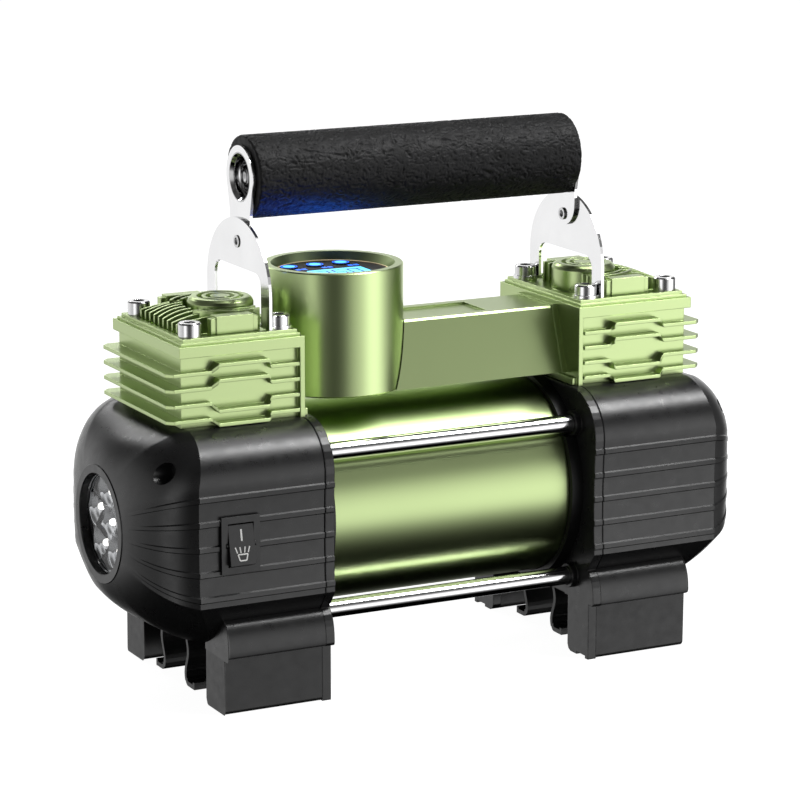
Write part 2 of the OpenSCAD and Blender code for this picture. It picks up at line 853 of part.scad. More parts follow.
// cast frame that holds bearing, gear axle and cylinder sleeve
module crank_frame() {
    color("#8d9093")
        difference() {
            union() {
                translate([shell_x + 0.3, -frame_half_y, frame_low_z])
                    cube([frame_t, 2 * frame_half_y, frame_top_z - frame_low_z]);
                translate([shell_x + 0.3, -frame_half_y, frame_top_z - frame_t])
                    cube([bore_x + bore_r + sleeve_wall + 4.2 - shell_x, 2 * frame_half_y, frame_t]);
                translate([0, 0, crank_z])
                    bar_x(shell_x + 0.4, gear_x + gear_t + 2 - shell_x, 3);
                translate([0, 0, crank_z])
                    bar_x(shell_x + 0.4, gear_x - shell_x - 0.7, 6);
            }
            translate([0, 0, motor_z])
                bar_x(shell_x - cut, 9, bearing_r + fit);
            translate([bore_x, 0, sleeve_low_z - 2])
                cylinder(h = 20, r = bore_r + sleeve_wall + clear);
            for (s = [0, 1])
                mirror([0, s, 0])
                    translate([0, frame_half_y - 8, motor_z + 11.7])
                        bar_x(shell_x - cut, 9, 5);
        }
}

module left_crank_frame() {
    mirror([1, 0, 0])
        crank_frame();
}

module right_crank_frame() {
    crank_frame();
}

module sleeve() {
    color("#cfd2d4")
        translate([bore_x, 0, sleeve_low_z])
            difference() {
                cylinder(h = block_top_z - sleeve_low_z - 0.05, r = bore_r + sleeve_wall);
                translate([0, 0, -cut])
                    cylinder(h = block_top_z - sleeve_low_z + 2 * cut, r = bore_r + run);
            }
}

module left_sleeve() {
    mirror([1, 0, 0])
        sleeve();
}

module right_sleeve() {
    sleeve();
}

// flat strip with a jog in its middle, a and d are its ends, b and c the jog
module jog_strip(a, b, c, d, z, jog) {
    polygon([[a, z], [b, z], [b + 1.6, z + jog], [c - 2.7, z + jog], [c, z], [d, z],
        [d, z + fin_t], [c, z + fin_t], [c - 2.7, z + jog + fin_t], [b + 1.6, z + jog + fin_t],
        [b, z + fin_t], [a, z + fin_t]]);
}

// cylinder block: core, frames and four cooling fins on three sides
module block() {
    fin_x = core_outer_x + fin_side_reach;
    fin_y = core_half_y + fin_reach;
    jog_in_x = block_inner_x + 13.4;
    jog_out_x = block_outer_x - 12;
    difference() {
        union() {
            translate([block_inner_x, -core_half_y, block_low_z])
                cube([core_outer_x - block_inner_x, 2 * core_half_y, block_top_z - block_low_z]);
            translate([block_inner_x, -block_half_y, block_top_z - 4.1])
                cube([block_outer_x - block_inner_x, 2 * block_half_y, 4.1]);
            translate([block_inner_x, -block_half_y, block_low_z])
                cube([1.8, 2 * block_half_y, block_top_z - block_low_z]);
            translate([block_inner_x - 1.7, -block_half_y + 1.6, block_low_z + 0.3])
                cube([2.5, 2 * block_half_y - 3.2, 2.6]);
            for (i = [0:3])
                let (z = fin_low_z + i * fin_pitch - fin_t / 2,
                j = i > 1 ? fin_jog : -min(fin_jog, z - block_low_z - clear)) {
                    for (s = [0, 1])
                        mirror([0, s, 0])
                            intersection() {
                                along_y(-fin_y - fin_bulge, fin_reach + fin_bulge + 1)
                                    jog_strip(block_inner_x + 2.3, jog_in_x, jog_out_x, fin_x, z, j);
                                linear_extrude(block_top_z)
                                    polygon([[0, -fin_y], [jog_in_x + 0.6, -fin_y],
                                        [jog_in_x + 1, -fin_y - fin_bulge],
                                        [jog_out_x - 2.2, -fin_y - fin_bulge], [jog_out_x - 0.5, -fin_y],
                                        [fin_x - 2.4, -fin_y], [fin_x, -fin_y + 2.4], [fin_x, 0], [0, 0]]);
                            }
                    intersection() {
                        translate([core_outer_x - 1, -fin_y, z])
                            cube([fin_side_reach + 1, 2 * fin_y, fin_t]);
                        linear_extrude(block_top_z)
                            polygon([[50, -fin_y], [fin_x - 2.4, -fin_y], [fin_x, -fin_y + 2.4],
                                [fin_x, fin_y - 2.4], [fin_x - 2.4, fin_y], [50, fin_y]]);
                    }
                }
        }
        translate([bore_x, 0, block_low_z - cut])
            cylinder(h = block_top_z - block_low_z + 2 * cut, r = bore_r + sleeve_wall + clear);
        for (x = [bolt_in_x, bolt_out_x])
            for (y = [-bolt_y, bolt_y])
                translate([x, y, block_top_z - 18])
                    cylinder(h = 20, r = 2.8, $fn = 32);
    }
}

module left_block() {
    color("#a7bd78")
        mirror([1, 0, 0])
            block();
}

module right_block() {
    color("#a7bd78")
        block();
}

// one upright fin of the head, its top falls away to the outside
module head_fin(y, x0, x1) {
    along_y(y - 0.5, 1)
        polygon(concat([[x1, head_floor_z - 0.2], [x0, head_floor_z - 0.2]],
            [for (t = [0:0.2:1]) [x0 + (x1 - x0) * t,
            head_floor_z + head_fin_height - (head_fin_height - 4.2) * t * t]]));
}

// cylinder head with a round valve cap, upright fins and curved guards
module head() {
    difference() {
        union() {
            difference() {
                union() {
                    translate([block_inner_x + 1.2, -block_half_y + 1.4, block_top_z])
                        cube([block_outer_x - block_inner_x - 2.4, 2 * block_half_y - 2.8, 1]);
                    translate([block_inner_x + 1.86, -core_half_y, block_top_z])
                        cube([block_length - 4.35, 2 * core_half_y, head_rim]);
                }
                translate([block_inner_x + 4.1, 2.2 - core_half_y, head_floor_z])
                    cube([block_length - 8.75, 2 * core_half_y - 4.4, 5]);
            }
            translate([cap_x, 0, 0])
                rotate_extrude()
                    polygon([[0, head_floor_z - 0.5], [cap_r, head_floor_z - 0.5], [cap_r, cap_top_z - 2],
                        [cap_r - 0.5, cap_top_z - 0.9], [cap_r - 1.4, cap_top_z - 0.1],
                        [cap_r - 2.2, cap_top_z], [cap_r - 3.6, cap_top_z], [cap_r - 4, cap_top_z - 1.2],
                        [cap_r - 5, cap_top_z - 1.2], [cap_r - 5.4, cap_top_z], [cap_r - 6.8, cap_top_z],
                        [cap_r - 7.2, cap_top_z - 1.2], [cap_r - 8.2, cap_top_z - 1.2],
                        [cap_r - 8.6, cap_top_z], [0, cap_top_z]]);
            for (i = [-4:4])
                let (start = cap_x + sqrt(max(0, pow(cap_r + 1.8, 2) - i * i * 16.8))
                - (abs(i) == 4 ? 5 : 0))
                    head_fin(i * 4.1, start, block_outer_x - 5.25);
            for (s = [0, 1])
                mirror([0, s, 0]) {
                    translate([cap_x - 1.9, 3.4 - core_half_y, head_floor_z - 0.2])
                        cube([14.4, 5, 7.6]);
                    translate([cap_x - 3.9, 4 - core_half_y, head_floor_z - 0.2])
                        cube([18.4, 3.4, 6.8]);
                    for (r = [cap_r + 3, cap_r + 6.2])
                        intersection() {
                            translate([cap_x, 0, head_floor_z - 0.2])
                                difference() {
                                    cylinder(h = 8, r = r + 0.5);
                                    translate([0, 0, -cut])
                                        cylinder(h = 12, r = r - 0.5);
                                }
                            translate([cap_x - 8, 2.4 - core_half_y, head_floor_z - 0.2])
                                cube([24, 15.4, 9]);
                        }
                }
            for (x = [bolt_in_x, bolt_out_x])
                for (y = [-bolt_y, bolt_y])
                    translate([x, y, head_floor_z - 0.5])
                        cylinder(h = 1.5, r = 4.6);
        }
        for (x = [bolt_in_x, bolt_out_x])
            for (y = [-bolt_y, bolt_y])
                translate([x, y, block_top_z - cut])
                    cylinder(h = 8, r = 2.8, $fn = 32);
    }
}

module left_head() {
    color("#a7bd78")
        mirror([1, 0, 0])
            head();
}

module right_head() {
    color("#a7bd78")
        head();
}

// socket head bolts of both cylinder heads
module head_bolt(seat_z) {
    difference() {
        union() {
            translate([0, 0, seat_z])
                cylinder(h = bolt_top_z - seat_z - 0.5, r = bolt_head_d / 2);
            translate([0, 0, bolt_top_z - 0.5])
                cylinder(h = 0.5, r1 = bolt_head_d / 2, r2 = bolt_head_d / 2 - 0.5);
            translate([0, 0, block_top_z - 16])
                cylinder(h = 20, r = 2.5, $fn = 32);
        }
        translate([0, 0, bolt_top_z - 2.6])
            cylinder(h = 4, r = 2.3, $fn = 6);
    }
}

module head_bolts() {
    color("#d5d7d8")
        for (sx = [-1, 1])
            for (sy = [-1, 1]) {
                translate([sx * bolt_in_x, sy * bolt_y, 0])
                    head_bolt(head_top_z + bracket_t);
                translate([sx * bolt_out_x, sy * bolt_y, 0])
                    head_bolt(head_top_z);
            }
}

// standing bracket: an arch with two legs whose tabs lie under the inner head bolts
module bracket(window_z) {
    mid_z = pivot_z - 17;
    difference() {
        union() {
            along_x(bracket_x, bracket_t)
                difference() {
                    polygon(concat(
                        [for (a = [0:6:180])
                            [bracket_half_y * cos(a), mid_z + (bracket_top_z - mid_z) * sin(a)]],
                        [[-bracket_half_y, head_top_z], [bracket_half_y, head_top_z]]));
                    polygon(concat(
                        [[bracket_half_y - 7.2, head_top_z - cut]],
                        [for (a = [0:15:90])
                            [bracket_half_y - 12.2 + 5 * cos(a), window_z - 5 + 5 * sin(a)]],
                        [for (a = [90:15:180])
                            [-bracket_half_y + 12.2 + 5 * cos(a), window_z - 5 + 5 * sin(a)]],
                        [[-bracket_half_y + 7.2, head_top_z - cut]]));
                }
            for (s = [0, 1])
                mirror([0, s, 0]) {
                    translate([bolt_in_x, bracket_half_y - 8, head_top_z])
                        cube([bracket_x + bracket_t - bolt_in_x, 6.6, bracket_t]);
                    translate([bolt_in_x, bolt_y, head_top_z])
                        cylinder(h = bracket_t, r = 4.9);
                }
        }
        for (y = [-bolt_y, bolt_y])
            translate([bolt_in_x, y, head_top_z - cut])
                cylinder(h = 5, r = 2.8, $fn = 32);
        translate([0, 0, pivot_z])
            bar_x(bracket_x - cut, bracket_t + 2 * cut, pin_r + fit);
    }
}

module left_bracket() {
    color("#d9dbdc")
        mirror([1, 0, 0])
            bracket(left_window_z);
}

module right_bracket() {
    color("#d9dbdc")
        bracket(right_window_z);
}

// flat arm between the pivot and the handle tube
module arm() {
    low_z = pivot_z - 4.2;
    difference() {
        along_x(arm_x, arm_t)
            union() {
                translate([0, grip_z])
                    circle(r = arm_ring_r, $fn = 96);
                polygon(concat(
                    [for (a = [180:10:360]) [arm_half_y * cos(a), low_z + arm_half_y + arm_half_y * sin(a)]],
                    [[arm_half_y + 0.2, grip_z - 13], [arm_ring_r - 0.6, grip_z - 3.4],
                    [-arm_ring_r + 0.6, grip_z - 3.4], [-arm_half_y - 0.2, grip_z - 13]]));
            }
        translate([0, 0, grip_z])
            bar_x(arm_x - cut, arm_t + 2 * cut, tube_r + fit);
        translate([0, 0, pivot_z])
            bar_x(arm_x - cut, arm_t + 2 * cut, pin_r + run);
    }
}

module left_arm() {
    color("#dcdedf")
        mirror([1, 0, 0])
            arm();
}

module right_arm() {
    color("#dcdedf")
        arm();
}

// tube through the grip, opened out a little at both ends
module handle_tube() {
    color("#d0d2d4")
        translate([0, 0, grip_z])
            difference() {
                bar_x(-arm_x - arm_t, 2 * (arm_x + arm_t), tube_r);
                bar_x(-arm_x - arm_t - cut, 2 * (arm_x + arm_t + cut), tube_r - tube_wall);
                for (s = [0, 1])
                    mirror([s, 0, 0])
                        translate([arm_x + arm_t - 1.2, 0, 0])
                            rotate([0, 90, 0])
                                cylinder(h = 1.3, r1 = tube_r - tube_wall, r2 = tube_r - 0.2);
            }
}

// foam sleeve over the tube
module handle_grip() {
    color("#1d1d1f")
        translate([0, 0, grip_z])
            difference() {
                union() {
                    bar_x(-grip_half + 0.4, 2 * grip_half - 0.8, grip_r);
                    for (s = [0, 1])
                        mirror([s, 0, 0])
                            translate([grip_half - 0.4, 0, 0])
                                rotate([0, 90, 0])
                                    cylinder(h = 0.4, r1 = grip_r, r2 = grip_r - 0.4);
                }
                bar_x(-grip_half - cut, 2 * (grip_half + cut), tube_r + fit);
            }
}

// pivot pins with a head on each side and a hexagon recess outside
module pivot_pins() {
    color("#9da0a2")
        for (s = [0, 1])
            mirror([s, 0, 0])
                translate([0, 0, pivot_z])
                    difference() {
                        union() {
                            bar_x(arm_x - 0.6, arm_t + bracket_t + 1, pin_r);
                            bar_x(arm_x - 0.7, 0.65, pin_head_r);
                            bar_x(bracket_x + bracket_t, 0.4, pin_head_r);
                        }
                        translate([bracket_x + bracket_t - 0.9, 0, 0])
                            rotate([0, 90, 0])
                                cylinder(h = 2, r = 1.5, $fn = 6);
                        translate([arm_x - 1.5, 0, 0])
                            rotate([0, 90, 0])
                                cylinder(h = 1.9, r = 1.5, $fn = 6);
                    }
}

// round tower for the gauge: thin rim, sloping inner wall and a deep pocket
module gauge_tower() {
    color("#a2b972")
        difference() {
            union() {
                translate([-tower_x, 0, 0])
                    rotate_extrude($fn = 96)
                        polygon([[0, tower_low_z], [tower_r - 0.5, tower_low_z],
                            [tower_r, tower_low_z + 0.5], [tower_r, tower_top_z - 0.4],
                            [tower_r - 0.4, tower_top_z],
                            [rim_inner_r, tower_top_z], [pocket_r, panel_z], [pocket_r, ledge_z],
                            [ledge_r, ledge_z], [ledge_r, tower_low_z + 3], [0, tower_low_z + 3]]);
                translate([-block_inner_x, -9, tower_low_z + 2])
                    cube([6, 18, 20]);
            }
            translate([-tower_x, 0, tower_low_z + 3])
                cylinder(h = ledge_z - tower_low_z - 4, r = ledge_r - 0.01);
            translate([0, 0, pipe_z])
                bar_x(-tower_x + 10, 30, 5 + clear);
        }
}

// display panel with holes for the buttons and a thin raised ring at its edge
module display_panel() {
    color("#101012")
        translate([-tower_x, 0, 0])
            difference() {
                union() {
                    translate([0, 0, panel_z - 1.6])
                        cylinder(h = 1.6, r = panel_r);
                    translate([0, 0, panel_z - 6])
                        difference() {
                            cylinder(h = 5, r = panel_r);
                            translate([0, 0, -cut])
                                cylinder(h = 8, r = panel_r - 1.4);
                        }
                }
                for (i = [-1:1])
                    translate([i * button_pitch - 1.6, 12, panel_z - 8]) {
                        cylinder(h = 10, r = button_r + fit);
                        cylinder(h = 6.4, r = button_r + 0.9);
                    }
                translate([1.4 - screen_w / 2 - 0.1, 2.1 - screen_d - 0.1, panel_z - 0.8])
                    cube([screen_w + 0.2, screen_d + 0.2, 3]);
            }
}

module display_screen() {
    color("#6fd8ff")
        translate([-tower_x + 1.4 - screen_w / 2, 2.1 - screen_d, panel_z - 0.8])
            cube([screen_w, screen_d, 1]);
}

// board with parts that the buttons press on
module display_board() {
    color("#1f5a35")
        translate([-tower_x, 0, 0]) {
            translate([0, 0, ledge_z])
                cylinder(h = 1.6, r = panel_r - 0.2);
            for (i = [-1:1])
                translate([i * button_pitch - 3.6, 10, panel_z - 6.1])
                    cube([4, 4, 1]);
            translate([-6, -14, panel_z - 12])
                cube([14, 16, 4.5]);
        }
}

// push button with a wider foot under the panel
module push_button(i) {
    color("#4aa8ff")
        translate([-tower_x + i * button_pitch - 1.6, 12, 0])
            union() {
                translate([0, 0, panel_z - 2.7])
                    cylinder(h = 3.2, r = button_r);
                translate([0, 0, panel_z - 2.7])
                    cylinder(h = 1, r = button_r + 0.7);
                translate([0, 0, panel_z - 5 + button_travel])
                    cylinder(h = 3, r = 1.4);
            }
}

module button_left() {
    push_button(-1);
}

module button_middle() {
    push_button(0);
}

module button_right() {
    push_button(1);
}

// duct from the tower to the right cylinder block
module air_bridge() {
    color("#95a866")
        difference() {
            union() {
                difference() {
                    union() {
                        along_x(-tower_x, tower_x + block_inner_x)
                            polygon([[-bridge_low_half_y, tower_low_z], [bridge_low_half_y, tower_low_z],
                                [bridge_top_half_y + 0.5, bridge_top_z - 0.7],
                                [bridge_top_half_y - 0.2, bridge_top_z],
                                [-bridge_top_half_y + 0.2, bridge_top_z],
                                [-bridge_top_half_y - 0.5, bridge_top_z - 0.7]]);
                        along_x(block_inner_x - 2, 2)
                            polygon([[-bridge_low_half_y - 0.8, tower_low_z],
                                [bridge_low_half_y + 0.8, tower_low_z],
                                [bridge_top_half_y + 0.8, bridge_top_z + 0.6],
                                [-bridge_top_half_y - 0.8, bridge_top_z + 0.6]]);
                    }
                    translate([-tower_x, 0, tower_low_z - cut])
                        cylinder(h = 40, r = tower_r + clear, $fn = 96);
                    translate([10.8 - tower_x, -9, bridge_top_z - 0.8])
                        cube([block_inner_x - 8.1, 18, 3]);
                }
                translate([0, 0, pipe_z])
                    bar_x(-tower_x + panel_r + 1.5, 20, 5);
            }
            translate([0, 0, pipe_z])
                bar_x(-tower_x, tower_x + block_inner_x - 4, 3.6);
        }
}

module tie_rods() {
    color("#e2e4e5")
        for (s = [0, 1])
            mirror([0, s, 0]) {
                translate([0, rod_up_y, rod_up_z])
                    bar_x(-shell_x, 2 * shell_x, rod_r);
                translate([0, rod_low_y, rod_low_z])
                    bar_x(-shell_x, 2 * shell_x, rod_r);
            }
}

// places of the lamp cups in y and z
function cup_y(i) = i < lamp_cups ? 11.4 * cos(i * 360 / lamp_cups + 18) : 0;
function cup_z(i) = i < lamp_cups ? 11.4 * sin(i * 360 / lamp_cups + 18) : 0;

// reflector with one cup for each light
module lamp_reflector() {
    color("#e4e6e8")
        translate([-lens_x + 1.5, 0, motor_z])
            rotate([0, 90, 0])
                difference() {
                    cylinder(h = 9, r = dome_opening_r - clear);
                    for (i = [0:lamp_cups])
                        translate([-cup_z(i), cup_y(i), -0.01]) {
                            cylinder(h = 5, r1 = 6.4, r2 = 3.4);
                            translate([0, 0, 4])
                                cylinder(h = 3, r1 = 4, r2 = 1.8);
                        }
                }
}

module lamp_lens() {
    color("#f2f6f8")
        translate([-lens_x, 0, motor_z])
            rotate([0, 90, 0])
                cylinder(h = 1.4, r = dome_opening_r - clear);
}

module lamp_leds() {
    color("#fff6c8")
        for (i = [0:lamp_cups])
            translate([-lens_x + 6.5, cup_y(i), motor_z + cup_z(i)])
                rotate([0, 90, 0])
                    cylinder(h = 1.9, r = 1.5, $fn = 32);
}

// frame of the rocker switch
module switch_frame() {
    color("#2f2f2f")
        translate([-switch_x, -housing_half_y, motor_z])
            difference() {
                union() {
                    translate([-switch_w / 2, -0.9, -switch_h / 2])
                        cube([switch_w, 0.9, switch_h]);
                    translate([-switch_w / 2 + 1, -0.2, -switch_h / 2 + 1])
                        cube([switch_w - 2, 14, switch_h - 2]);
                }
                translate([-5, -2, -7.95])
                    cube([10, 12, 15.9]);
                bar_x(-5.8, 11.6, stud_r + run);
            }
}

// rocker, tipped so that its lower end stands out
module switch_rocker() {
    color("#333333")
        translate([-switch_x, -housing_half_y, motor_z]) {
            rotate([90, 0, -90])
                translate([0, 0, -4.9])
                    linear_extrude(9.8)
                        polygon([[0.5, 7.4], [rocker_reach, -7], [rocker_reach - 0.6, -7.3],
                            [-3.4, -6.8], [-6, 0], [-3.4, 6.8], [0, 7.4]]);
            bar_x(-5.7, 11.4, stud_r);
        }
}

// hose outlet at the back of the right housing
module air_outlet() {
    color("#c2b27a")
        translate([bore_x, 0, motor_z])
            rotate([-90, 0, 0])
                difference() {
                    union() {
                        translate([0, 0, housing_half_y - 8])
                            cylinder(h = 8.5, r = 5);
                        translate([0, 0, housing_half_y])
                            cylinder(h = 1.4, r = 7.5, $fn = 6);
                        translate([0, 0, housing_half_y])
                            cylinder(h = rocker_reach, r = 4.2);
                    }
                    translate([0, 0, housing_half_y - 9])
                        cylinder(h = 20, r = 2.2, $fn = 32);
                }
}

// gland where the supply lead enters the right housing
module cord_gland() {
    color("#1a1a1a")
        translate([bore_x + 12, 0, 50])
            rotate([-90, 0, 0])
                difference() {
                    union() {
                        translate([0, 0, housing_half_y - 5])
                            cylinder(h = 6, r = 4);
                        translate([0, 0, housing_half_y + 0.4])
                            cylinder(h = 1.6, r = 5.6);
                    }
                    translate([0, 0, housing_half_y - 6])
                        cylinder(h = 20, r = 2.4, $fn = 32);
                }
}

left_housing();
right_housing();
left_inner_plate();
right_inner_plate();
left_hooks();
right_hooks();
foot_front_left();
foot_back_left();
foot_front_right();
foot_back_right();
motor_can();
left_can_seal();
right_can_seal();
motor_magnets();
armature();
commutator();
motor_shaft();
brush_plate();
left_bearing();
right_bearing();
left_pinion();
right_pinion();
left_gear();
right_gear();
left_con_rod();
right_con_rod();
left_piston();
right_piston();
left_crank_frame();
right_crank_frame();
left_sleeve();
right_sleeve();
left_block();
right_block();
left_head();
right_head();
head_bolts();
left_bracket();
right_bracket();
left_arm();
right_arm();
handle_tube();
handle_grip();
pivot_pins();
gauge_tower();
display_panel();
display_screen();
display_board();
button_left();
button_middle();
button_right();
air_bridge();
tie_rods();
lamp_reflector();
lamp_lens();
lamp_leds();
switch_frame();
switch_rocker();
air_outlet();
cord_gland();
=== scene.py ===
import math

import bmesh
import bpy
from mathutils import Euler, Matrix, Vector, noise


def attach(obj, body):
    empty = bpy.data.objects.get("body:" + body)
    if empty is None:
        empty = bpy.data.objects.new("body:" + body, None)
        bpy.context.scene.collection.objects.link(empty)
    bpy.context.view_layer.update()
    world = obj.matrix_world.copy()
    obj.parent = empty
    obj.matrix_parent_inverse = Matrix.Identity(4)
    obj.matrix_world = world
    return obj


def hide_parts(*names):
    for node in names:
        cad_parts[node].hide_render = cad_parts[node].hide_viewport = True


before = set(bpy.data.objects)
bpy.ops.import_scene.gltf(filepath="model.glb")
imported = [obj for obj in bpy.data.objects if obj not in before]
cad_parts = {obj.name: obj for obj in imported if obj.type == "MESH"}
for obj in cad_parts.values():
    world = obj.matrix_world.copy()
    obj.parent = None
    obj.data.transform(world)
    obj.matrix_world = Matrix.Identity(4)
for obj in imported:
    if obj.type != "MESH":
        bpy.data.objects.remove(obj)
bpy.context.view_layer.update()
scene = bpy.context.scene
MM = 0.001


# ---------- camera, light and floor ----------

def make_camera():
    """Camera at the photograph's viewing angle."""
    data = bpy.data.cameras.new("camera")
    data.lens = 149.01
    data.sensor_width = 36.0
    data.clip_start, data.clip_end = 0.05, 60.0
    cam = bpy.data.objects.new("camera", data)
    scene.collection.objects.link(cam)
    cam.location = Vector((-558.508, -1086.718, 370.705)) * MM
    back = Vector((-0.44433666, -0.8689046, 0.21810485))
    cam.rotation_mode = "QUATERNION"
    cam.rotation_quaternion = (-back).to_track_quat("-Z", "Y")
    scene.camera = cam


def area_light(name, place, target, size, power, colour=(1, 1, 1)):
    """Soft rectangular light that the camera doesn't see; places in metres, power in watts."""
    data = bpy.data.lights.new(name, "AREA")
    data.shape = "RECTANGLE"
    data.size, data.size_y = size
    data.energy = power
    data.color = colour
    light = bpy.data.objects.new(name, data)
    light.location = place
    light.rotation_mode = "QUATERNION"
    light.rotation_quaternion = (Vector(target) - Vector(place)).to_track_quat("-Z", "Y")
    light.visible_camera = False
    scene.collection.objects.link(light)


def stage_panel(name, corners, material):
    """Flat panel of the stage."""
    mesh = bpy.data.meshes.new(name)
    mesh.from_pydata([Vector(c) for c in corners], [], [(0, 1, 2, 3)])
    panel = bpy.data.objects.new(name, mesh)
    scene.collection.objects.link(panel)
    mesh.materials.append(material)
    return panel


def floor_material():
    """Pale floor that the camera sees almost white."""
    mat = bpy.data.materials.new("floor_white")
    mat.use_nodes = True
    nodes, links = mat.node_tree.nodes, mat.node_tree.links
    bsdf = nodes["Principled BSDF"]
    bsdf.inputs["Roughness"].default_value = 0.7
    bsdf.inputs["Specular IOR Level"].default_value = 0.0
    grain = nodes.new("ShaderNodeTexNoise")
    grain.inputs["Scale"].default_value = 30.0
    tint = nodes.new("ShaderNodeMix")
    tint.data_type = "RGBA"
    tint.inputs["A"].default_value = (0.30, 0.30, 0.30, 1)
    tint.inputs["B"].default_value = (0.32, 0.32, 0.32, 1)
    links.new(grain.outputs["Fac"], tint.inputs["Factor"])
    links.new(tint.outputs["Result"], bsdf.inputs["Base Color"])
    path = nodes.new("ShaderNodeLightPath")
    lift = nodes.new("ShaderNodeMath")
    lift.operation = "MULTIPLY"
    lift.inputs[1].default_value = 0.97
    links.new(path.outputs["Is Camera Ray"], lift.inputs[0])
    links.new(lift.outputs[0], bsdf.inputs["Emission Strength"])
    bsdf.inputs["Emission Color"].default_value = (1, 1, 1, 1)
    return mat


# brightness of the studio round the part: degrees to the right of the front, then brightness
STUDIO_ROUND = [(-180, 0.65), (-153, 0.86), (-125, 0.75), (-106, 0.65), (-88, 0.55),
                (-70, 1.3), (-54, 0.85), (-34, 0.09), (-14, 0.10), (4, 0.68), (27, 1.3),
                (44, 2.15), (60, 1.4), (80, 0.42), (96, 0.14), (117, 0.35), (150, 1.4),
                (180, 0.65)]
# the same by height: degrees above the horizon, then brightness
STUDIO_UP = [(-90, 0.0), (-42, 0.01), (-28, 0.22), (-18, 0.85), (-8, 1.05), (5, 0.9),
             (16, 0.50), (27, 0.10), (38, 0.05), (50, 0.07), (62, 0.08), (90, 0.08)]


def studio_world():
    """Studio surroundings: soft bright and dark zones that the polished parts mirror."""
    world = bpy.data.worlds.new("studio")
    scene.world = world
    world.use_nodes = True
    tree = world.node_tree
    back = tree.nodes["Background"]

    def math_node(operation, a, b=None):
        n = tree.nodes.new("ShaderNodeMath")
        n.operation = operation
        for socket, value in zip(n.inputs, (a, b)):
            if isinstance(value, (int, float)):
                socket.default_value = value
            elif value is not None:
                tree.links.new(value, socket)
        return n.outputs[0]

    def profile(angle, low, high, stops):
        """Smooth brightness curve over an angle in degrees."""
        n = tree.nodes.new("ShaderNodeFloatCurve")
        top = max(v for _, v in stops)
        points = n.mapping.curves[0].points
        while len(points) < len(stops):
            points.new(0.5, 0.5)
        for point, (place, value) in zip(points, stops):
            point.location = ((place - low) / (high - low), value / top)
        n.mapping.update()
        above = math_node("SUBTRACT", math_node("DEGREES", angle), low)
        span = math_node("DIVIDE", above, high - low)
        tree.links.new(span, n.inputs["Value"])
        return math_node("MULTIPLY", n.outputs[0], top)

    way = tree.nodes.new("ShaderNodeTexCoord").outputs["Generated"]
    split = tree.nodes.new("ShaderNodeSeparateXYZ")
    tree.links.new(way, split.inputs[0])
    x, y, z = split.outputs
    around = math_node("ARCTAN2", x, math_node("MULTIPLY", y, -1.0))
    light = math_node("MULTIPLY", profile(around, -180, 180, STUDIO_ROUND),
                      profile(math_node("ARCSINE", z), -90, 90, STUDIO_UP))
    path = tree.nodes.new("ShaderNodeLightPath").outputs["Is Camera Ray"]
    tree.links.new(math_node("MAXIMUM", light, path), back.inputs["Strength"])
    back.inputs["Color"].default_value = (1, 1, 1, 1)


def make_stage():
    floor = stage_panel("floor", [(-9, -6, 0), (9, -6, 0), (9, 14, 0), (-9, 14, 0)],
                        floor_material())
    floor.visible_glossy = False
    studio_world()
    area_light("top", (0.22, 0.12, 1.25), (0.0, 0, 0.1), (0.66, 0.42), 2.5)
    area_light("key", (0.62, -0.42, 1.2), (0, 0, 0.1), (0.5, 0.5), 11)
    area_light("back", (0.0, 1.25, 0.9), (0, 0, 0.1), (0.9, 0.3), 4)
    scene.view_settings.view_transform = "Standard"
    scene.view_settings.look = "None"


def display_glow():
    """Blue light that the lit display throws up at the grip."""
    area_light("display_glow", (-0.040, -0.010, 0.1545), (-0.044, -0.004, 0.187),
               (0.05, 0.02), 0.015, (0.02, 0.10, 1.0))


# ---------- material helpers ----------

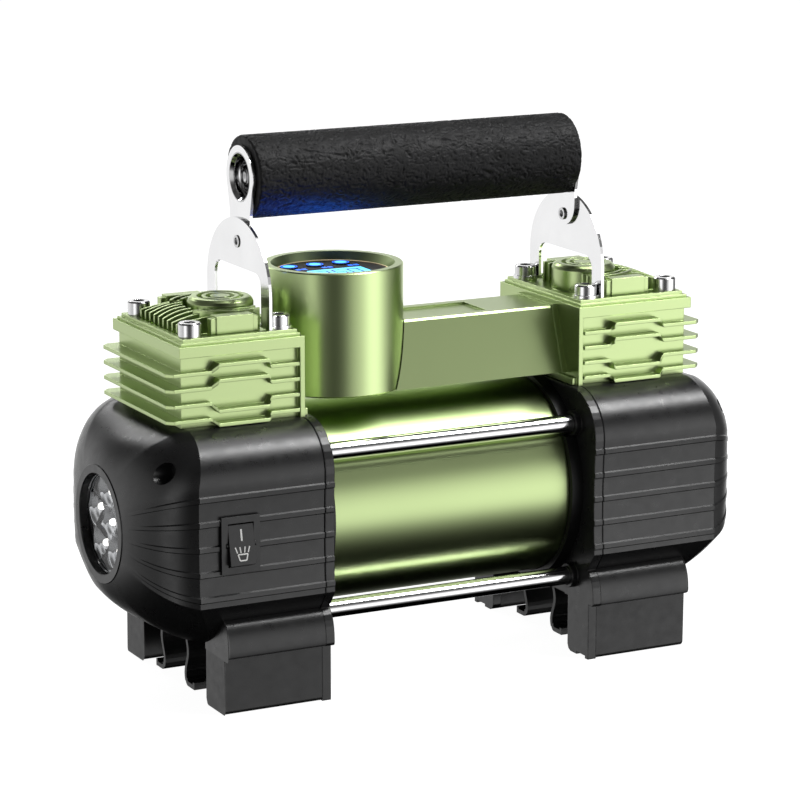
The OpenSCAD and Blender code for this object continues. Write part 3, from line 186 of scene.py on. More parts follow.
class Shader:
    """Node material with short helpers; coordinates are the part's own, in metres."""

    def __init__(self, name):
        self.mat = bpy.data.materials.new(name)
        self.mat.use_nodes = True
        self.tree = self.mat.node_tree
        self.bsdf = self.tree.nodes["Principled BSDF"]
        self.coords = self.node("ShaderNodeTexCoord").outputs["Object"]

    def node(self, kind, **values):
        n = self.tree.nodes.new(kind)
        for key, value in values.items():
            setattr(n, key, value)
        return n

    def link(self, a, b):
        self.tree.links.new(a, b)

    def set(self, **values):
        names = {"rough": "Roughness", "metal": "Metallic", "spec": "Specular IOR Level",
                 "ior": "IOR", "glass": "Transmission Weight", "emit": "Emission Strength"}
        for key, value in values.items():
            self.bsdf.inputs[names[key]].default_value = value
        return self

    def stretched(self, scale):
        m = self.node("ShaderNodeMapping")
        m.inputs["Scale"].default_value = scale
        self.link(self.coords, m.inputs["Vector"])
        return m.outputs["Vector"]

    def noise(self, scale, detail=4.0, rough=0.55, vector=None):
        n = self.node("ShaderNodeTexNoise")
        n.inputs["Scale"].default_value = scale
        n.inputs["Detail"].default_value = detail
        n.inputs["Roughness"].default_value = rough
        self.link(vector or self.coords, n.inputs["Vector"])
        return n.outputs["Fac"]

    def ramp(self, factor, stops):
        n = self.node("ShaderNodeValToRGB")
        while len(n.color_ramp.elements) < len(stops):
            n.color_ramp.elements.new(0.5)
        for e, (place, colour) in zip(n.color_ramp.elements, stops):
            e.position = place
            e.color = (*colour, 1)
        self.link(factor, n.inputs["Fac"])
        return n.outputs["Color"]

    def span(self, factor, low, high, to_low, to_high):
        n = self.node("ShaderNodeMapRange")
        ends = {"From Min": low, "From Max": high, "To Min": to_low, "To Max": to_high}
        for key, value in ends.items():
            n.inputs[key].default_value = value
        self.link(factor, n.inputs["Value"])
        return n.outputs["Result"]

    def colour(self, socket):
        self.link(socket, self.bsdf.inputs["Base Color"])
        return self

    def roughness(self, socket):
        self.link(socket, self.bsdf.inputs["Roughness"])
        return self

    def bump(self, height, distance, strength=1.0, edge=0.0):
        b = self.node("ShaderNodeBump")
        b.inputs["Strength"].default_value = strength
        b.inputs["Distance"].default_value = distance
        self.link(height, b.inputs["Height"])
        if edge:
            e = self.node("ShaderNodeBevel", samples=4)
            e.inputs["Radius"].default_value = edge
            self.link(e.outputs["Normal"], b.inputs["Normal"])
        self.link(b.outputs["Normal"], self.bsdf.inputs["Normal"])
        return self


def shades(base, spread):
    """Darker and lighter stops round one colour."""
    return [(0.3, tuple(c * (1 - spread) for c in base)),
            (0.7, tuple(c * (1 + spread) for c in base))]


GREEN = (0.50, 0.618, 0.30)


def green_metal(name, rough, depth=0.00003, edge=0.0004):
    """Satin green anodised aluminium with a fine grain and faint cloudy variation."""
    s = Shader(name).set(metal=1.0)
    s.colour(s.ramp(s.noise(20.0, 3.0, 0.5), shades(GREEN, 0.012)))
    s.roughness(s.span(s.noise(30.0, 3.0, 0.5), 0.3, 0.7, rough - 0.008, rough + 0.008))
    return s.bump(s.noise(2600.0, 2.0, 0.5), depth, 0.3, edge).mat


def black_plastic(name, base, rough, edge):
    """Satin moulded plastic with a fine spark-eroded grain."""
    s = Shader(name).set(spec=0.62)
    s.colour(s.ramp(s.noise(40.0, 4.0), shades((base, base, base * 1.03), 0.12)))
    s.roughness(s.span(s.noise(260.0, 4.0, 0.6), 0.3, 0.7, rough - 0.05, rough + 0.05))
    return s.bump(s.noise(2000.0, 1.0, 0.5), 0.00001, 0.2, edge).mat


def bright_metal(name, tone, rough, stretch=(1, 1, 1), edge=0.0003):
    """Polished steel with very fine marks."""
    s = Shader(name).set(metal=1.0)
    s.colour(s.ramp(s.noise(60.0, 3.0), shades((tone, tone, tone * 1.005), 0.03)))
    lines = s.noise(900.0, 4.0, 0.7, s.stretched(stretch))
    s.roughness(s.span(lines, 0.3, 0.7, max(0.03, rough - 0.03), rough + 0.03))
    return s.bump(lines, 0.00001, 0.3, edge).mat


def lit(name, colour, strength):
    """Glowing plastic whose light is a little uneven."""
    s = Shader(name).set(rough=0.25, emit=strength)
    tint = s.ramp(s.noise(220.0, 3.0), shades(colour, 0.12))
    s.colour(tint)
    s.link(tint, s.bsdf.inputs["Emission Color"])
    return s.mat


def foam_material():
    """Matt black foam with a fine uneven skin."""
    s = Shader("foam_black").set(spec=0.28)
    s.colour(s.ramp(s.noise(150.0, 5.0),
                    [(0.3, (0.005, 0.005, 0.005)), (0.7, (0.014, 0.014, 0.015))]))
    s.roughness(s.span(s.noise(420.0, 4.0), 0.3, 0.7, 0.40, 0.62))
    return s.bump(s.noise(1500.0, 5.0, 0.7), 0.00025, 0.6).mat


def glass_material():
    """Clear lens, with a low refraction so that the lamp behind it shows."""
    s = Shader("lens_clear").set(glass=1.0, ior=1.18, spec=0.5)
    s.colour(s.ramp(s.noise(60.0), shades((0.95, 0.96, 0.97), 0.01)))
    s.roughness(s.span(s.noise(200.0), 0.3, 0.7, 0.015, 0.04))
    return s.bump(s.noise(120.0), 0.00001, 0.2).mat


def make_materials():
    m = {
        "can": green_metal("green_can", 0.30, depth=0.000005, edge=0),
        "cast": green_metal("green_cast", 0.30),
        "duct": green_metal("green_duct", 0.30, edge=0.00015),
        "shell": black_plastic("housing_black", 0.015, 0.31, 0),
        "rim": black_plastic("plate_black", 0.015, 0.31, 0.0006),
        "foot": black_plastic("foot_black", 0.020, 0.40, 0),
        "switch": black_plastic("switch_black", 0.010, 0.33, 0.0002),
        "seal": black_plastic("seal_black", 0.006, 0.40, 0),
        "plate": bright_metal("bright_plate", 0.97, 0.14, edge=0),
        "tube": bright_metal("bright_tube", 0.80, 0.09, (0.1, 1, 1), 0),
        "rod": bright_metal("bright_rod", 0.9, 0.12, (0.1, 1, 1), 0),
        "bolt": bright_metal("bright_bolt", 0.82, 0.16),
        "pin": bright_metal("pin_steel", 0.72, 0.20, edge=0),
        "steel": bright_metal("inner_steel", 0.6, 0.3),
        "panel": black_plastic("panel_black", 0.016, 0.55, 0),
        "chrome": bright_metal("lamp_chrome", 0.86, 0.06, edge=0),
        "foam": foam_material(),
        "lens": glass_material(),
        "cyan": lit("screen_cyan", (0.10, 0.62, 0.95), 1.6),
        "blue": lit("button_blue", (0.08, 0.45, 1.0), 2.2),
        "light": lit("led_light", (1.0, 0.97, 0.92), 2.2),
        "halo": lit("ring_blue", (0.02, 0.16, 1.0), 1.6),
        "digit": lit("digit_blue", (0.01, 0.06, 0.42), 0.5),
        # the rocker's white print is given a faint glow: a painted highlight, as the print is no
        # lamp
        "mark": lit("mark_white_painted_glow", (0.82, 0.82, 0.80), 0.15),
        "gold": lit("ring_gold", (1.0, 0.80, 0.52), 0.55),
    }
    brass = Shader("outlet_brass").set(metal=1.0)
    brass.colour(brass.ramp(brass.noise(80.0), shades((0.62, 0.46, 0.2), 0.06)))
    brass.roughness(brass.span(brass.noise(300.0), 0.3, 0.7, 0.2, 0.32))
    m["brass"] = brass.bump(brass.noise(1200.0), 0.00001, 0.3, 0.0002).mat
    return m


# which nodes of the solids take which material
USES = {
    "can": ["motor_can"],
    "cast": ["left_block", "right_block", "left_head", "right_head"],
    "duct": ["gauge_tower", "air_bridge"],
    "shell": ["left_housing", "right_housing"],
    "rim": ["left_inner_plate", "right_inner_plate"],
    "foot": ["foot_front_left", "foot_back_left", "foot_front_right", "foot_back_right",
             "left_hooks", "right_hooks"],
    "switch": ["switch_frame", "switch_rocker", "cord_gland"],
    "seal": ["left_can_seal", "right_can_seal", "brush_plate", "motor_magnets",
             "display_board"],
    "plate": ["left_bracket", "right_bracket", "left_arm", "right_arm"],
    "tube": ["handle_tube"],
    "rod": ["tie_rods"],
    "bolt": ["head_bolts"],
    "pin": ["pivot_pins"],
    "panel": ["display_panel", "button_left", "button_middle", "button_right"],
    "chrome": ["lamp_reflector"],
    "foam": ["handle_grip"],
    "lens": ["lamp_lens"],
    "cyan": ["display_screen"],
    "light": ["lamp_leds"],
    "brass": ["air_outlet", "left_pinion", "right_pinion", "commutator", "armature"],
    "steel": ["motor_shaft", "left_bearing", "right_bearing", "left_gear", "right_gear",
              "left_con_rod", "right_con_rod", "left_piston", "right_piston",
              "left_crank_frame", "right_crank_frame", "left_sleeve", "right_sleeve"],
}


def dress_nodes(mats):
    for key, names in USES.items():
        for name in names:
            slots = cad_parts[name].data.materials
            slots.clear()
            slots.append(mats[key])


# ---------- pieces ----------

def new_piece(name, bm, material, body, smooth=True):
    mesh = bpy.data.meshes.new(name)
    bm.normal_update()
    bm.to_mesh(mesh)
    bm.free()
    if smooth:
        mesh.shade_smooth()
    mesh.materials.append(material)
    piece = bpy.data.objects.new(name, mesh)
    scene.collection.objects.link(piece)
    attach(piece, body)
    return piece


# sizes in mm, the same as the solids have
INNER_X, PLATE_T, CORNER_X, RIM_X = 54.2, 3.5, 107.2, 126.0
SHELL_X = INNER_X + PLATE_T
HALF_Y, TOP_Y, UNDER_Y = 49.1, 30.9, 27.0
TOP_Z, UPPER_Z, LOWER_Z, UNDER_Z = 103.3, 85.9, 41.9, 22.0
AXIS_Z, RIM_R, OPENING_R, LENS_X = 64.3, 21.95, 18.5, 123.4
SWITCH_X, BLOCK_X, GRIP_Z = 91.7, 81.675, 187.5
FOOT_OUT, FOOT_IN = 45.2, 29.7
RIB_HALF, DISH, DOME_LOW_IN = 0.9, 0.7, 12
ROD_R, ROD_UP_Y, ROD_UP_Z, ROD_LOW_Y, ROD_LOW_Z = 3.4, 33.967, 90.176, 32.461, 30.449
# forms in mm that only the scene has, or has a little different
RIB_H, RIDGE_H, RIM_STEP, DOME_TOP_IN = 0.62, 1.0, 0.35, 3.4
SCREW_X, SCREW_Y, SCREW_Z, SCREW_R = 121.5, 38.6, 90.4, 3.8
# heights of the five ribs, and where each one's section has its points, in rib halves
RIBS = [LOWER_Z + 3.2 + i * (UPPER_Z - LOWER_Z - 7.4) / 4 for i in range(5)]
RIB_POINTS = (1.5, 1.40, 1.23, 1.07, 0.90, 0.8, 0.3)
# corners that the curve from the face to the underside leans on
UNDER_CURVE = [(HALF_Y, LOWER_Z), (43.9, 33.6), (36.5, 26.0), (UNDER_Y, UNDER_Z)]


def lerp(a, b, t):
    return a + (b - a) * t


def bezier(t, stops):
    u = 1 - t
    a, b, c, d = stops
    return u ** 3 * a + 3 * u * u * t * b + 3 * u * t * t * c + t ** 3 * d


def face_at(z):
    """Reach of the dished face at a height."""
    mid, half = (UPPER_Z + LOWER_Z) / 2, (UPPER_Z - LOWER_Z) / 2
    return HALF_Y - DISH * (1 - ((z - mid) / half) ** 2)


def rib_rise(z):
    """Share of the rib height at a height on the face, with rounded edges."""
    d = min(abs(z - r) for r in RIBS) / RIB_HALF
    return max(0.0, min(1.0, (1.40 - d) / 0.5))


def half_section():
    """Section of a housing from the middle of its top to the middle of its underside.

    Each point is y, z and the share of the rib height there."""
    pts = [(TOP_Y * i / 14, TOP_Z, 0.0) for i in range(14)]
    for i in range(28):
        a = math.radians(90 * (1 - i / 28))
        pts.append((TOP_Y + (HALF_Y - TOP_Y) * math.cos(a),
                    UPPER_Z + (TOP_Z - UPPER_Z) * math.sin(a), 0.0))
    levels = {UPPER_Z, LOWER_Z}
    for r in RIBS:
        levels |= {r + s * RIB_HALF * k for s in (-1, 1) for k in RIB_POINTS}
    levels |= {lerp(LOWER_Z, UPPER_Z, i / 26) for i in range(27)}
    for z in sorted(levels, reverse=True):
        pts.append((face_at(z), z, rib_rise(z)))
    for i in range(1, 17):
        y, z = (bezier(i / 16, stops) for stops in zip(*UNDER_CURVE))
        pts.append((y, z, 0.0))
    pts += [(UNDER_Y * (1 - i / 10), UNDER_Z, 0.0) for i in range(1, 11)]
    return pts


def section():
    """Closed section: down the side of +Y and up the other side."""
    half = half_section()
    return half + [(-y, z, r) for y, z, r in reversed(half[1:-1])]


def dome_start(z):
    """Where the dome starts along x: earlier at the top and at the underside."""
    return (CORNER_X - DOME_TOP_IN * max(0.0, (z - UPPER_Z) / (TOP_Z - UPPER_Z))
            - DOME_LOW_IN * max(0.0, (LOWER_Z - z) / (LOWER_Z - UNDER_Z)))


def face_ring(pts, share, inset=0.0, rib=1.0):
    """Ring on the straight part; share runs from the inner plate to the start of the dome."""
    ring = []
    for y, z, r in pts:
        side = 1 if y > 0 else -1
        reach = abs(y) + r * RIB_H * rib
        out = Vector((reach * side, z - AXIS_Z))
        out *= 1 - inset / out.length
        ring.append((lerp(SHELL_X, dome_start(z), share), out.x, out.y + AXIS_Z))
    return ring


def from_ridge(y, z):
    """Distance along the section from the line where its top meets its round shoulder.

    17.8 is the mean radius of that shoulder."""
    if z < UPPER_Z:
        return 99.0
    if y <= TOP_Y:
        return y - TOP_Y
    a = math.atan2((z - UPPER_Z) / (TOP_Z - UPPER_Z), (y - TOP_Y) / (HALF_Y - TOP_Y))
    return 17.8 * (math.pi / 2 - a)


def dome_ring(pts, t, inset=0.0):
    """Ring on the dome; t runs from the corner edge to the round rim.

    The shrink's last term dips beside the corner edge, keep is the ridge's height there, and
    the ridge fades over 11 mm on its flat side and 4.5 mm on its round side."""
    grow = 0.3 * t + 0.7 * math.sin(math.radians(90 * t))
    shrink = (0.3 * t + 0.7 * (1 - math.cos(math.radians(90 * t)))
              + 0.017 * (1 - math.exp(-t / 0.08)) * (1 - t))
    keep = RIDGE_H * min(1.0, t / 0.15) * (1 - t) ** 0.6
    fade = max(0.0, 1 - (t / 0.93) ** 9)
    ring = []
    for y, z, r in pts:
        a = math.atan2(z - AXIS_Z, y)
        side = 1 if y > 0 else -1
        reach = y + side * r * RIB_H * 1.15 * fade
        d = from_ridge(abs(y), z)
        lift = keep * math.exp(d / 11 if d < 0 else -d / 4.5)
        x0 = dome_start(z)
        p = Vector((lerp(reach, RIM_R * math.cos(a), shrink),
                    lerp(z - AXIS_Z, RIM_R * math.sin(a), shrink)))
        p *= 1 + (lift - inset) / p.length
        ring.append((lerp(x0, RIM_X - RIM_STEP, grow), p.x, p.y + AXIS_Z))
    return ring


def round_ring(pts, x, radius):
    return [(x, radius * math.cos(a), AXIS_Z + radius * math.sin(a))
            for a in (math.atan2(z - AXIS_Z, y) for y, z, _ in pts)]


def skin(bm, rings, side):
    """Closed skin over rings of points in mm, last to first; side -1 mirrors it to the left."""
    rows = [[bm.verts.new((side * x * MM, y * MM, z * MM)) for x, y, z in ring]
            for ring in rings]
    for a, b in zip(rows, rows[1:] + rows[:1]):
        for i in range(len(a)):
            j = (i + 1) % len(a)
            bm.faces.new((a[i], a[j], b[j], b[i]))


def cutter(kind, place, size, turn=(0, 0, 0)):
    """Mesh that a skin is cut with: a cylinder of radius and length, or a box of three sizes."""
    bm = bmesh.new()
    if kind == "round":
        bmesh.ops.create_cone(bm, cap_ends=True, segments=64, radius1=size[0] * MM,
                              radius2=size[0] * MM, depth=size[1] * MM)
    else:
        bmesh.ops.create_cube(bm, size=1.0)
        bmesh.ops.scale(bm, vec=[v * MM for v in size], verts=bm.verts)
    turned_by = Euler([math.radians(v) for v in turn]).to_matrix().to_4x4()
    bm.transform(Matrix.Translation([v * MM for v in place]) @ turned_by)
    mesh = bpy.data.meshes.new("cutter")
    bm.to_mesh(mesh)
    bm.free()
    tool = bpy.data.objects.new("cutter", mesh)
    scene.collection.objects.link(tool)
    return tool


def cut_away(piece, tools):
    """Cuts the tools out of a piece and keeps only the result."""
    for tool in tools:
        m = piece.modifiers.new("cut", "BOOLEAN")
        m.operation, m.solver, m.object = "DIFFERENCE", "EXACT", tool
    graph = bpy.context.evaluated_depsgraph_get()
    mesh = bpy.data.meshes.new_from_object(piece.evaluated_get(graph))
    piece.modifiers.clear()
    piece.data = mesh
    for tool in tools:
        bpy.data.meshes.remove(tool.data)


def crease(piece, degrees):
    """Smooth shading with sharp edges where faces meet at more than an angle."""
    piece.data.shade_smooth()
    piece.data.set_sharp_from_angle(angle=math.radians(degrees))


def even_shading(piece):
    """Large flat faces keep their own shading beside rounded edges."""
    m = piece.modifiers.new("even", "WEIGHTED_NORMAL")
    m.keep_sharp = True


def housing_rings(lamp):
    """Rings of a housing from the inner plate over the dome, through the rim and back inside."""
    pts = section()
    rings = [face_ring(pts, 0.0, 0.45), face_ring(pts, 0.012), face_ring(pts, 0.5),
             face_ring(pts, 0.985)]
    rings += [dome_ring(pts, t) for t in [0.0, 0.015] + [i / 34 for i in range(1, 34)] + [0.985]]
    turns = [(RIM_X - RIM_STEP, RIM_R), (RIM_X - 0.25, RIM_R + 0.1), (RIM_X, RIM_R - 0.15),
             (RIM_X, OPENING_R + 0.3), (RIM_X - 0.3, OPENING_R)]
    if lamp:
        turns += [(LENS_X - 10.4, OPENING_R), (LENS_X - 12, OPENING_R + 3)]
    else:
        turns += [(RIM_X - 1.2, OPENING_R), (RIM_X - 1.3, 12.0), (RIM_X - 1.3, 0.02),
                  (RIM_X - 4, 0.02), (RIM_X - 4, OPENING_R)]
    rings += [round_ring(pts, x, radius) for x, radius in turns]
    rings += [dome_ring(pts, t, 9.0) for t in (0.4, 0.1)]
    rings += [face_ring(pts, 0.9, 2.6, 0.0), face_ring(pts, 0.0, 2.6, 0.0)]
    return rings


def make_housing(name, side, lamp, mats, node):
    """End housing with smooth dome, ribs, screw recesses and its openings."""
    bm = bmesh.new()
    skin(bm, housing_rings(lamp), side)
    bmesh.ops.recalc_face_normals(bm, faces=bm.faces)
    piece = new_piece(name, bm, mats["shell"], "base")
    tools = [cutter("round", (side * BLOCK_X, 0, TOP_Z), (18.1, 12))]
    for y in (-1, 1):
        tools.append(cutter("round", (side * SCREW_X, y * SCREW_Y, SCREW_Z), (SCREW_R, 20),
                            (0, 90, 0)))
    if lamp:
        tools.append(cutter("box", (side * SWITCH_X, -HALF_Y, AXIS_Z), (13.2, 14, 19.2)))
    else:
        tools.append(cutter("round", (BLOCK_X, HALF_Y, AXIS_Z), (5.3, 16), (90, 0, 0)))
        tools.append(cutter("round", (93.675, HALF_Y, 50), (4.3, 16), (90, 0, 0)))
    cut_away(piece, tools)
    crease(piece, 15)
    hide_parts(node)


def shoulder_section():
    """Rounded shoulder over a foot, as y and z."""
    reach, low, top = HALF_Y - 0.5, 21.6, 35.4
    pts = [(FOOT_IN, low), (reach - 0.9, low), (reach - 0.2, low + 0.3)]
    for i in range(25):
        a = math.radians(125 * i / 24)
        c = math.cos(a)
        pts.append((reach - 6.8 + 6.8 * math.copysign(abs(c) ** 0.9, c),
                    low + 1 + (top - low - 1) * math.sin(a) ** 0.85))
    return pts + [(30.0, 30.0)]


def inward(pts, d):
    """Section drawn in by a small distance towards its middle."""
    cy = sum(y for y, _ in pts) / len(pts)
    cz = sum(z for _, z in pts) / len(pts)
    out = []
    for y, z in pts:
        v = Vector((y - cy, z - cz))
        v *= 1 - d / v.length
        out.append((cy + v.x, cz + v.y))
    return out


def prism(bm, pts, x0, x1, soft0, soft1, mirror_y):
    """Slab along x over a section, with rounded rims at both ends."""
    steps = [(0.0, 1.0), (0.076, 0.617), (0.293, 0.293), (0.617, 0.076), (1.0, 0.0)]
    rings = [(x0 + soft0 * u, inward(pts, soft0 * d)) for u, d in steps]
    rings += [(x1 - soft1 * u, inward(pts, soft1 * d)) for u, d in reversed(steps)]
    rows = [[bm.verts.new((x * MM, (-y if mirror_y else y) * MM, z * MM)) for y, z in ring]
            for x, ring in rings]
    for a, b in zip(rows, rows[1:]):
        for i in range(len(a)):
            j = (i + 1) % len(a)
            bm.faces.new((a[i], a[j], b[j], b[i]))
    bm.faces.new(rows[0])
    bm.faces.new(rows[-1])


def foot_section():
    """Foot block with rounded lower edges, as y and z."""
    outer, inner, top = FOOT_OUT, FOOT_IN, 24.0
    pts = [(outer, top), (outer, 1.6)]
    for a in (20, 40, 60, 80, 90):
        turn = math.radians(a)
        pts.append((outer - 1.6 + 1.6 * math.cos(turn), 1.6 - 1.6 * math.sin(turn)))
    return pts + [(inner + 2.4, 0.0), (inner + 0.8, 0.7), (inner, 2.4), (inner, top)]


def make_feet(mats):
    """Foot blocks and the shoulders over them."""
    for side, word in ((-1, "left"), (1, "right")):
        bm = bmesh.new()
        for back in (False, True):
            ends = (side * (SHELL_X + 0.02), side * 96.8)
            prism(bm, shoulder_section(), *ends, side * 0.1, side * 1.1, not back)
        bmesh.ops.recalc_face_normals(bm, faces=bm.faces)
        piece = new_piece(word + "_shoulders", bm, mats["shell"], "base")
        crease(piece, 35)
        even_shading(piece)
        for back, place in ((False, "front"), (True, "back")):
            bm = bmesh.new()
            prism(bm, foot_section(), side * (SHELL_X + 0.02), side * 96.72,
                  side * 0.1, side * 0.7, not back)
            bmesh.ops.recalc_face_normals(bm, faces=bm.faces)
            foot = new_piece("foot_block_%s_%s" % (place, word), bm, mats["foot"], "base")
            crease(foot, 40)
            even_shading(foot)
            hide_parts("foot_%s_%s" % (place, word))


def flat_ring(bm, centre, inner, outer, around=64, low=0.0):
    """Flat ring, or a disc when inner is 0, facing up, in mm."""
    x, y, z = centre
    turns = [2 * math.pi * k / around for k in range(around)]

    def loop(r, h):
        return [bm.verts.new(((x + r * math.cos(a)) * MM, (y + r * math.sin(a)) * MM, h * MM))
                for a in turns]

    if inner == 0:
        bm.faces.new(loop(outer, z))
        return
    a, b, c = loop(inner, z), loop(outer, z), loop(outer + low, z - low)
    for k in range(around):
        j = (k + 1) % around
        bm.faces.new((a[k], b[k], b[j], a[j]))
        if low:
            bm.faces.new((b[k], c[k], c[j], b[j]))


def bar(bm, a, b, width, place):
    """Thin flat bar between two points of a sheet; place turns sheet points into mm."""
    a, b = Vector(a), Vector(b)
    along = (b - a).normalized() * width / 2
    across = Vector((-along.y, along.x))
    corners = [a + across, a - across, b - across, b + across]
    lower = [bm.verts.new(place(c.x, c.y, 0.0) * MM) for c in corners]
    upper = [bm.verts.new(place(c.x, c.y, 0.12) * MM) for c in corners]
    bm.faces.new(upper)
    for i in range(4):
        j = (i + 1) % 4
        bm.faces.new((lower[i], lower[j], upper[j], upper[i]))


# which of the seven bars of a digit are lit, from the top bar clockwise, the middle bar last
DIGITS = {"3": "1111001", "5": "1011011", "0": "1111110"}


def digit_bars(symbol, x, y, w, h):
    """End points of the lit bars of a digit with its lower left corner at x, y."""
    m, g = h / 2, 0.25
    spots = [((x + g, y + h), (x + w - g, y + h)), ((x + w, y + h - g), (x + w, y + m + g)),
             ((x + w, y + m - g), (x + w, y + g)), ((x + g, y), (x + w - g, y)),
             ((x, y + m - g), (x, y + g)), ((x, y + h - g), (x, y + m + g)),
             ((x + g, y + m), (x + w - g, y + m))]
    return [spot for spot, lit_bar in zip(spots, DIGITS[symbol]) if lit_bar == "1"]


TOWER_X, PANEL_Z, BUTTON_Y = -30.8, 150.0, 12.0
BUTTON_PITCH, BUTTON_SHIFT = 10.7, 1.6


def make_display(mats):
    """Rings and discs on the buttons, small bars, digits and the ring round the panel."""
    def on_panel(u, v, h):
        return Vector((u, v, PANEL_Z + 0.02 + h * 0.4))

    def on_screen(u, v, h):
        return Vector((u, v, PANEL_Z + 0.21 + h * 0.3))

    bm = bmesh.new()
    for i in (-1, 0, 1):
        x = TOWER_X + i * BUTTON_PITCH - BUTTON_SHIFT
        for k in range(2):
            bar(bm, (x + 0.5 + 2.4 * k, 6.7), (x + 2.3 + 2.4 * k, 6.7), 2.2, on_panel)
    new_piece("button_halos", bm, mats["halo"], "base", False)
    for i, word in ((-1, "left"), (0, "middle"), (1, "right")):
        body = "button_%s_body" % word
        x = TOWER_X + i * BUTTON_PITCH - BUTTON_SHIFT
        bm = bmesh.new()
        flat_ring(bm, (x, BUTTON_Y, PANEL_Z + 0.53), 2.75, 3.25)
        new_piece("button_line_%d" % (i + 2), bm, mats["halo"], body, False)
        bm = bmesh.new()
        flat_ring(bm, (x, BUTTON_Y, PANEL_Z + 0.54), 0, 2.3)
        new_piece("button_disc_%d" % (i + 2), bm, mats["blue"], body, False)
    bm = bmesh.new()
    for k, symbol in enumerate("350"):
        x = TOWER_X + 1.4 - 8.6 + k * 6.2
        for a, b in digit_bars(symbol, x, -9.4, 3.8, 8.6):
            bar(bm, a, b, 0.8, on_screen)
    bar(bm, (TOWER_X + 7.6, -9.3), (TOWER_X + 10.6, -9.3), 0.7, on_screen)
    bar(bm, (TOWER_X + 7.6, -1.0), (TOWER_X + 11.2, -1.0), 0.8, on_screen)
    new_piece("screen_digits", bm, mats["digit"], "base", False)
    bm = bmesh.new()
    flat_ring(bm, (TOWER_X, 0, PANEL_Z + 0.25), 20.75, 21.35, 128, 0.2)
    new_piece("panel_ring", bm, mats["gold"], "base")


def make_rocker_marks(mats):
    """White printed line and lamp symbol on the rocker; their material glows faintly, a painted
    highlight, as the print is no lamp.
    """
    def place(u, v, h):
        front = -HALF_Y - (0.5 + (7.4 - v) * 2.8 / 14.4) - 0.01 - h * 0.5
        return Vector((-SWITCH_X + u, front, AXIS_Z + v))

    bm = bmesh.new()
    bar(bm, (0, 5.7), (0, 1.6), 0.62, place)
    for x0, x1 in ((-2.8, -2.05), (-1.0, -0.7), (1.0, 0.7), (2.8, 2.05)):
        bar(bm, (x0, -0.5), (x1, -2.6), 0.42, place)
    cup = [(-1.9, -3.1), (1.9, -3.1), (1.25, -5.3), (-1.25, -5.3)]
    for a, b in zip(cup, cup[1:] + cup[:1]):
        bar(bm, a, b, 0.45, place)
    bmesh.ops.recalc_face_normals(bm, faces=bm.faces)
    new_piece("rocker_marks", bm, mats["mark"], "rocker", False)


def turned(bm, profile, around, place):
    """Skin turned from a profile of depth and radius; place turns depth, y and z into mm."""
    turns = [2 * math.pi * k / around for k in range(around)]
    rows = [[bm.verts.new(place(d, r * math.cos(a), r * math.sin(a)) * MM) for a in turns]
            for d, r in profile]
    for a, b in zip(rows, rows[1:]):
        for k in range(around):
            j = (k + 1) % around
            bm.faces.new((a[k], a[j], b[j], b[k]))


def make_tube_ends(mats):
    """Stepped rings inside both mouths of the handle tube."""
    profile = [(0.0, 8.75), (1.25, 7.75), (1.5, 7.7), (3.2, 7.7), (3.6, 7.2), (4.6, 7.1),
               (5.2, 7.5), (9.0, 7.5), (9.4, 6.6), (10.6, 6.4), (11.2, 7.0), (20.0, 7.0),
               (22.0, 0.05)]
    bm = bmesh.new()
    for side in (-1, 1):
        turned(bm, profile, 64, lambda d, y, z: Vector((side * (68.25 - d), y, GRIP_Z + z)))
    bmesh.ops.recalc_face_normals(bm, faces=bm.faces)
    piece = new_piece("tube_ends", bm, mats["tube"], "handle")
    crease(piece, 40)


def make_rods(mats):
    """Smooth tie rods, each with a small collar at both ends."""
    rods = [(side * y, z) for y, z in ((ROD_UP_Y, ROD_UP_Z), (ROD_LOW_Y, ROD_LOW_Z))
            for side in (-1, 1)]
    bm = bmesh.new()
    for y, z in rods:
        profile = [(-SHELL_X, 0.01), (-SHELL_X, ROD_R), (SHELL_X, ROD_R), (SHELL_X, 0.01)]
        turned(bm, profile, 96, lambda d, u, v: Vector((d, y + u, z + v)))
    bmesh.ops.recalc_face_normals(bm, faces=bm.faces)
    piece = new_piece("rod_skins", bm, mats["rod"], "base")
    crease(piece, 40)
    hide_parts("tie_rods")
    bm = bmesh.new()
    for y, z in rods:
        for end in (-1, 1):
            x0, x1 = end * (INNER_X + 0.2), end * (INNER_X - 1.9)
            profile = [(x0, ROD_R + 0.05), (x0, 4.2), (lerp(x1, x0, 0.12), 4.2), (x1, 3.95),
                       (x1, ROD_R + 0.05)]
            turned(bm, profile, 64, lambda d, u, v: Vector((d, y + u, z + v)))
    bmesh.ops.recalc_face_normals(bm, faces=bm.faces)
    crease(new_piece("rod_collars", bm, mats["seal"], "base"), 40)


# middles of the six lamp cups as y and z: five in a ring and one in the middle
CUP_TURNS = [math.radians(72 * i + 18) for i in range(5)]
CUPS = [(11.4 * math.cos(a), 11.4 * math.sin(a)) for a in CUP_TURNS] + [(0.0, 0.0)]


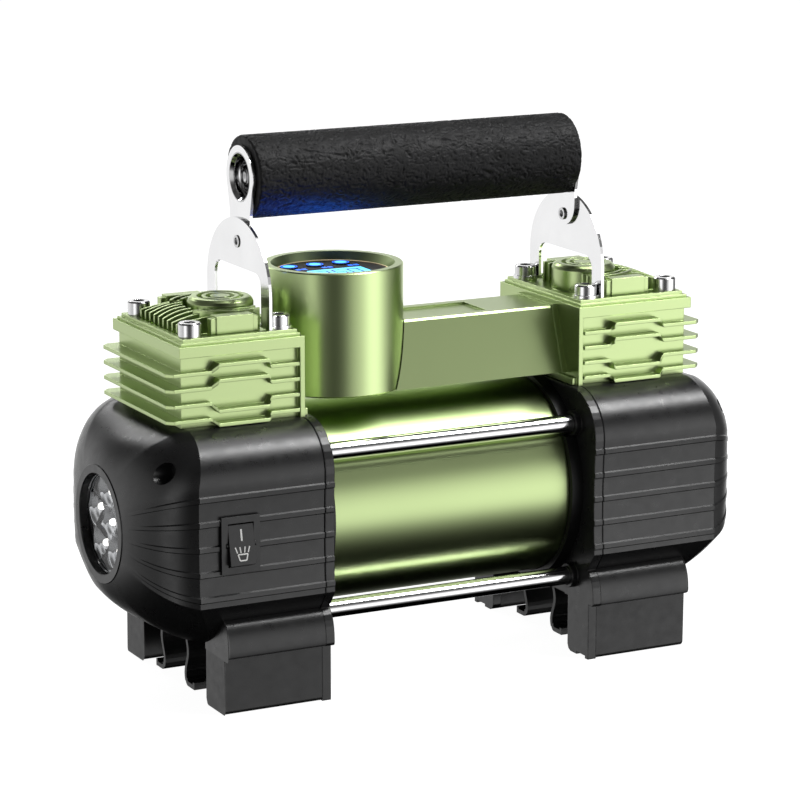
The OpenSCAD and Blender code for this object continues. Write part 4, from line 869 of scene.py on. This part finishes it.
def make_reflector(mats):
    """Reflector plate with six deep polished cups that have fine rings."""
    bm = bmesh.new()
    rows = []
    steps, around = 88, 220
    for i in range(1, steps + 1):
        r = 18.15 * i / steps
        row = []
        for k in range(around):
            a = 2 * math.pi * k / around
            y, z = r * math.cos(a), r * math.sin(a)
            near = min(math.hypot(y - cy, z - cz) for cy, cz in CUPS)
            bowl = min(1.0, near / 7.2)
            deep = 3.4 * (1 - bowl ** 1.6) + 0.05 * math.cos(near * 3.2)
            x = -LENS_X + 1.7 + max(0.0, deep)
            row.append(bm.verts.new(Vector((x, y, AXIS_Z + z)) * MM))
        rows.append(row)
    bm.faces.new(rows[0])
    for a, b in zip(rows, rows[1:]):
        for k in range(around):
            j = (k + 1) % around
            bm.faces.new((a[k], a[j], b[j], b[k]))
    rim = [bm.verts.new(Vector((-LENS_X + 10.4, v.co.y / MM, v.co.z / MM)) * MM)
           for v in rows[-1]]
    for k in range(around):
        j = (k + 1) % around
        bm.faces.new((rows[-1][k], rows[-1][j], rim[j], rim[k]))
    bm.faces.new(rim)
    bmesh.ops.recalc_face_normals(bm, faces=bm.faces)
    piece = new_piece("reflector_cups", bm, mats["chrome"], "base")
    crease(piece, 60)
    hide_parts("lamp_reflector")


def make_lamp_lights(mats):
    """Rounded light in the middle of each cup."""
    bm = bmesh.new()
    for cy, cz in CUPS:
        profile = [(0.6, 1.35), (-0.4, 1.3), (-0.9, 1.05), (-1.2, 0.65), (-1.3, 0.02)]
        turned(bm, profile, 40,
               lambda d, u, v: Vector((-LENS_X + 3.9 + d, cy + u, AXIS_Z + cz + v)))
    bmesh.ops.recalc_face_normals(bm, faces=bm.faces)
    piece = new_piece("lamp_domes", bm, mats["light"], "base")
    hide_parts("lamp_leds")


def tube_skin(bm, outline, around):
    """Skin turned round the grip axis; outline holds (x, radius), closed end to start."""
    rings = []
    for x, r in outline:
        turns = [2 * math.pi * k / around for k in range(around)]
        rings.append([bm.verts.new((x * MM, r * math.sin(a) * MM, (GRIP_Z + r * math.cos(a)) * MM))
                      for a in turns])
    for a, b in zip(rings, rings[1:] + rings[:1]):
        for k in range(around):
            j = (k + 1) % around
            bm.faces.new((a[k], a[j], b[j], b[k]))
    return rings


# the noise starts from the clock unless it has a seed, and then the foam differs in each run
WRINKLE_TOP, FOAM_SEED = 0.30, 11


def crumple(p):
    """Height in mm of the wrinkled foam skin at a point in mm.

    It stays under WRINKLE_TOP, so that the folded grip clears the gauge tower."""
    q = Vector((p.x * 0.30 + p.z * 0.14, p.y * 0.55, p.z * 0.60 - p.x * 0.05))
    warp = noise.noise_vector(q * 0.6) * 1.1
    fold = 1 - abs(noise.noise(q + warp)) * 2.4
    pit = 1 - abs(noise.noise(q * 2.2 + warp * 1.9)) * 2.4
    return min(WRINKLE_TOP, 0.24 * fold + 0.30 * pit + 0.14 * noise.noise(q * 5.0))


def make_grip(mats):
    """Foam grip with a wrinkled skin and soft ends."""
    r0, half, inner = 15.0, 66.7, 9.1
    outline = [(-half, inner), (-half, inner + 2.6), (-half, r0 - 0.8),
               (-half + 0.15, r0 - 0.25), (-half + 0.6, r0)]
    steps = 420
    outline += [(-half + 0.6 + (2 * half - 1.2) * i / steps, r0) for i in range(1, steps)]
    outline += [(half - 0.6, r0), (half - 0.15, r0 - 0.25), (half, r0 - 0.8),
                (half, inner + 2.6), (half, inner)]
    noise.seed_set(FOAM_SEED)
    bm = bmesh.new()
    rings = tube_skin(bm, outline, 280)
    for (x, r), ring in zip(outline, rings):
        if r < inner + 1:
            continue
        for v in ring:
            p = v.co / MM
            out = Vector((0, p.y, p.z)) - Vector((0, 0, GRIP_Z))
            v.co += out.normalized() * crumple(p) * MM * (0.5 if r < r0 - 1 else 1.0)
    bmesh.ops.recalc_face_normals(bm, faces=bm.faces)
    piece = new_piece("grip_foam", bm, mats["foam"], "handle")
    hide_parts("handle_grip")


make_camera()
make_stage()
display_glow()
mats = make_materials()
dress_nodes(mats)
make_grip(mats)
make_housing("left_housing_skin", -1, True, mats, "left_housing")
make_housing("right_housing_skin", 1, False, mats, "right_housing")
make_feet(mats)
make_display(mats)
make_rocker_marks(mats)
make_tube_ends(mats)
make_reflector(mats)
make_lamp_lights(mats)
make_rods(mats)
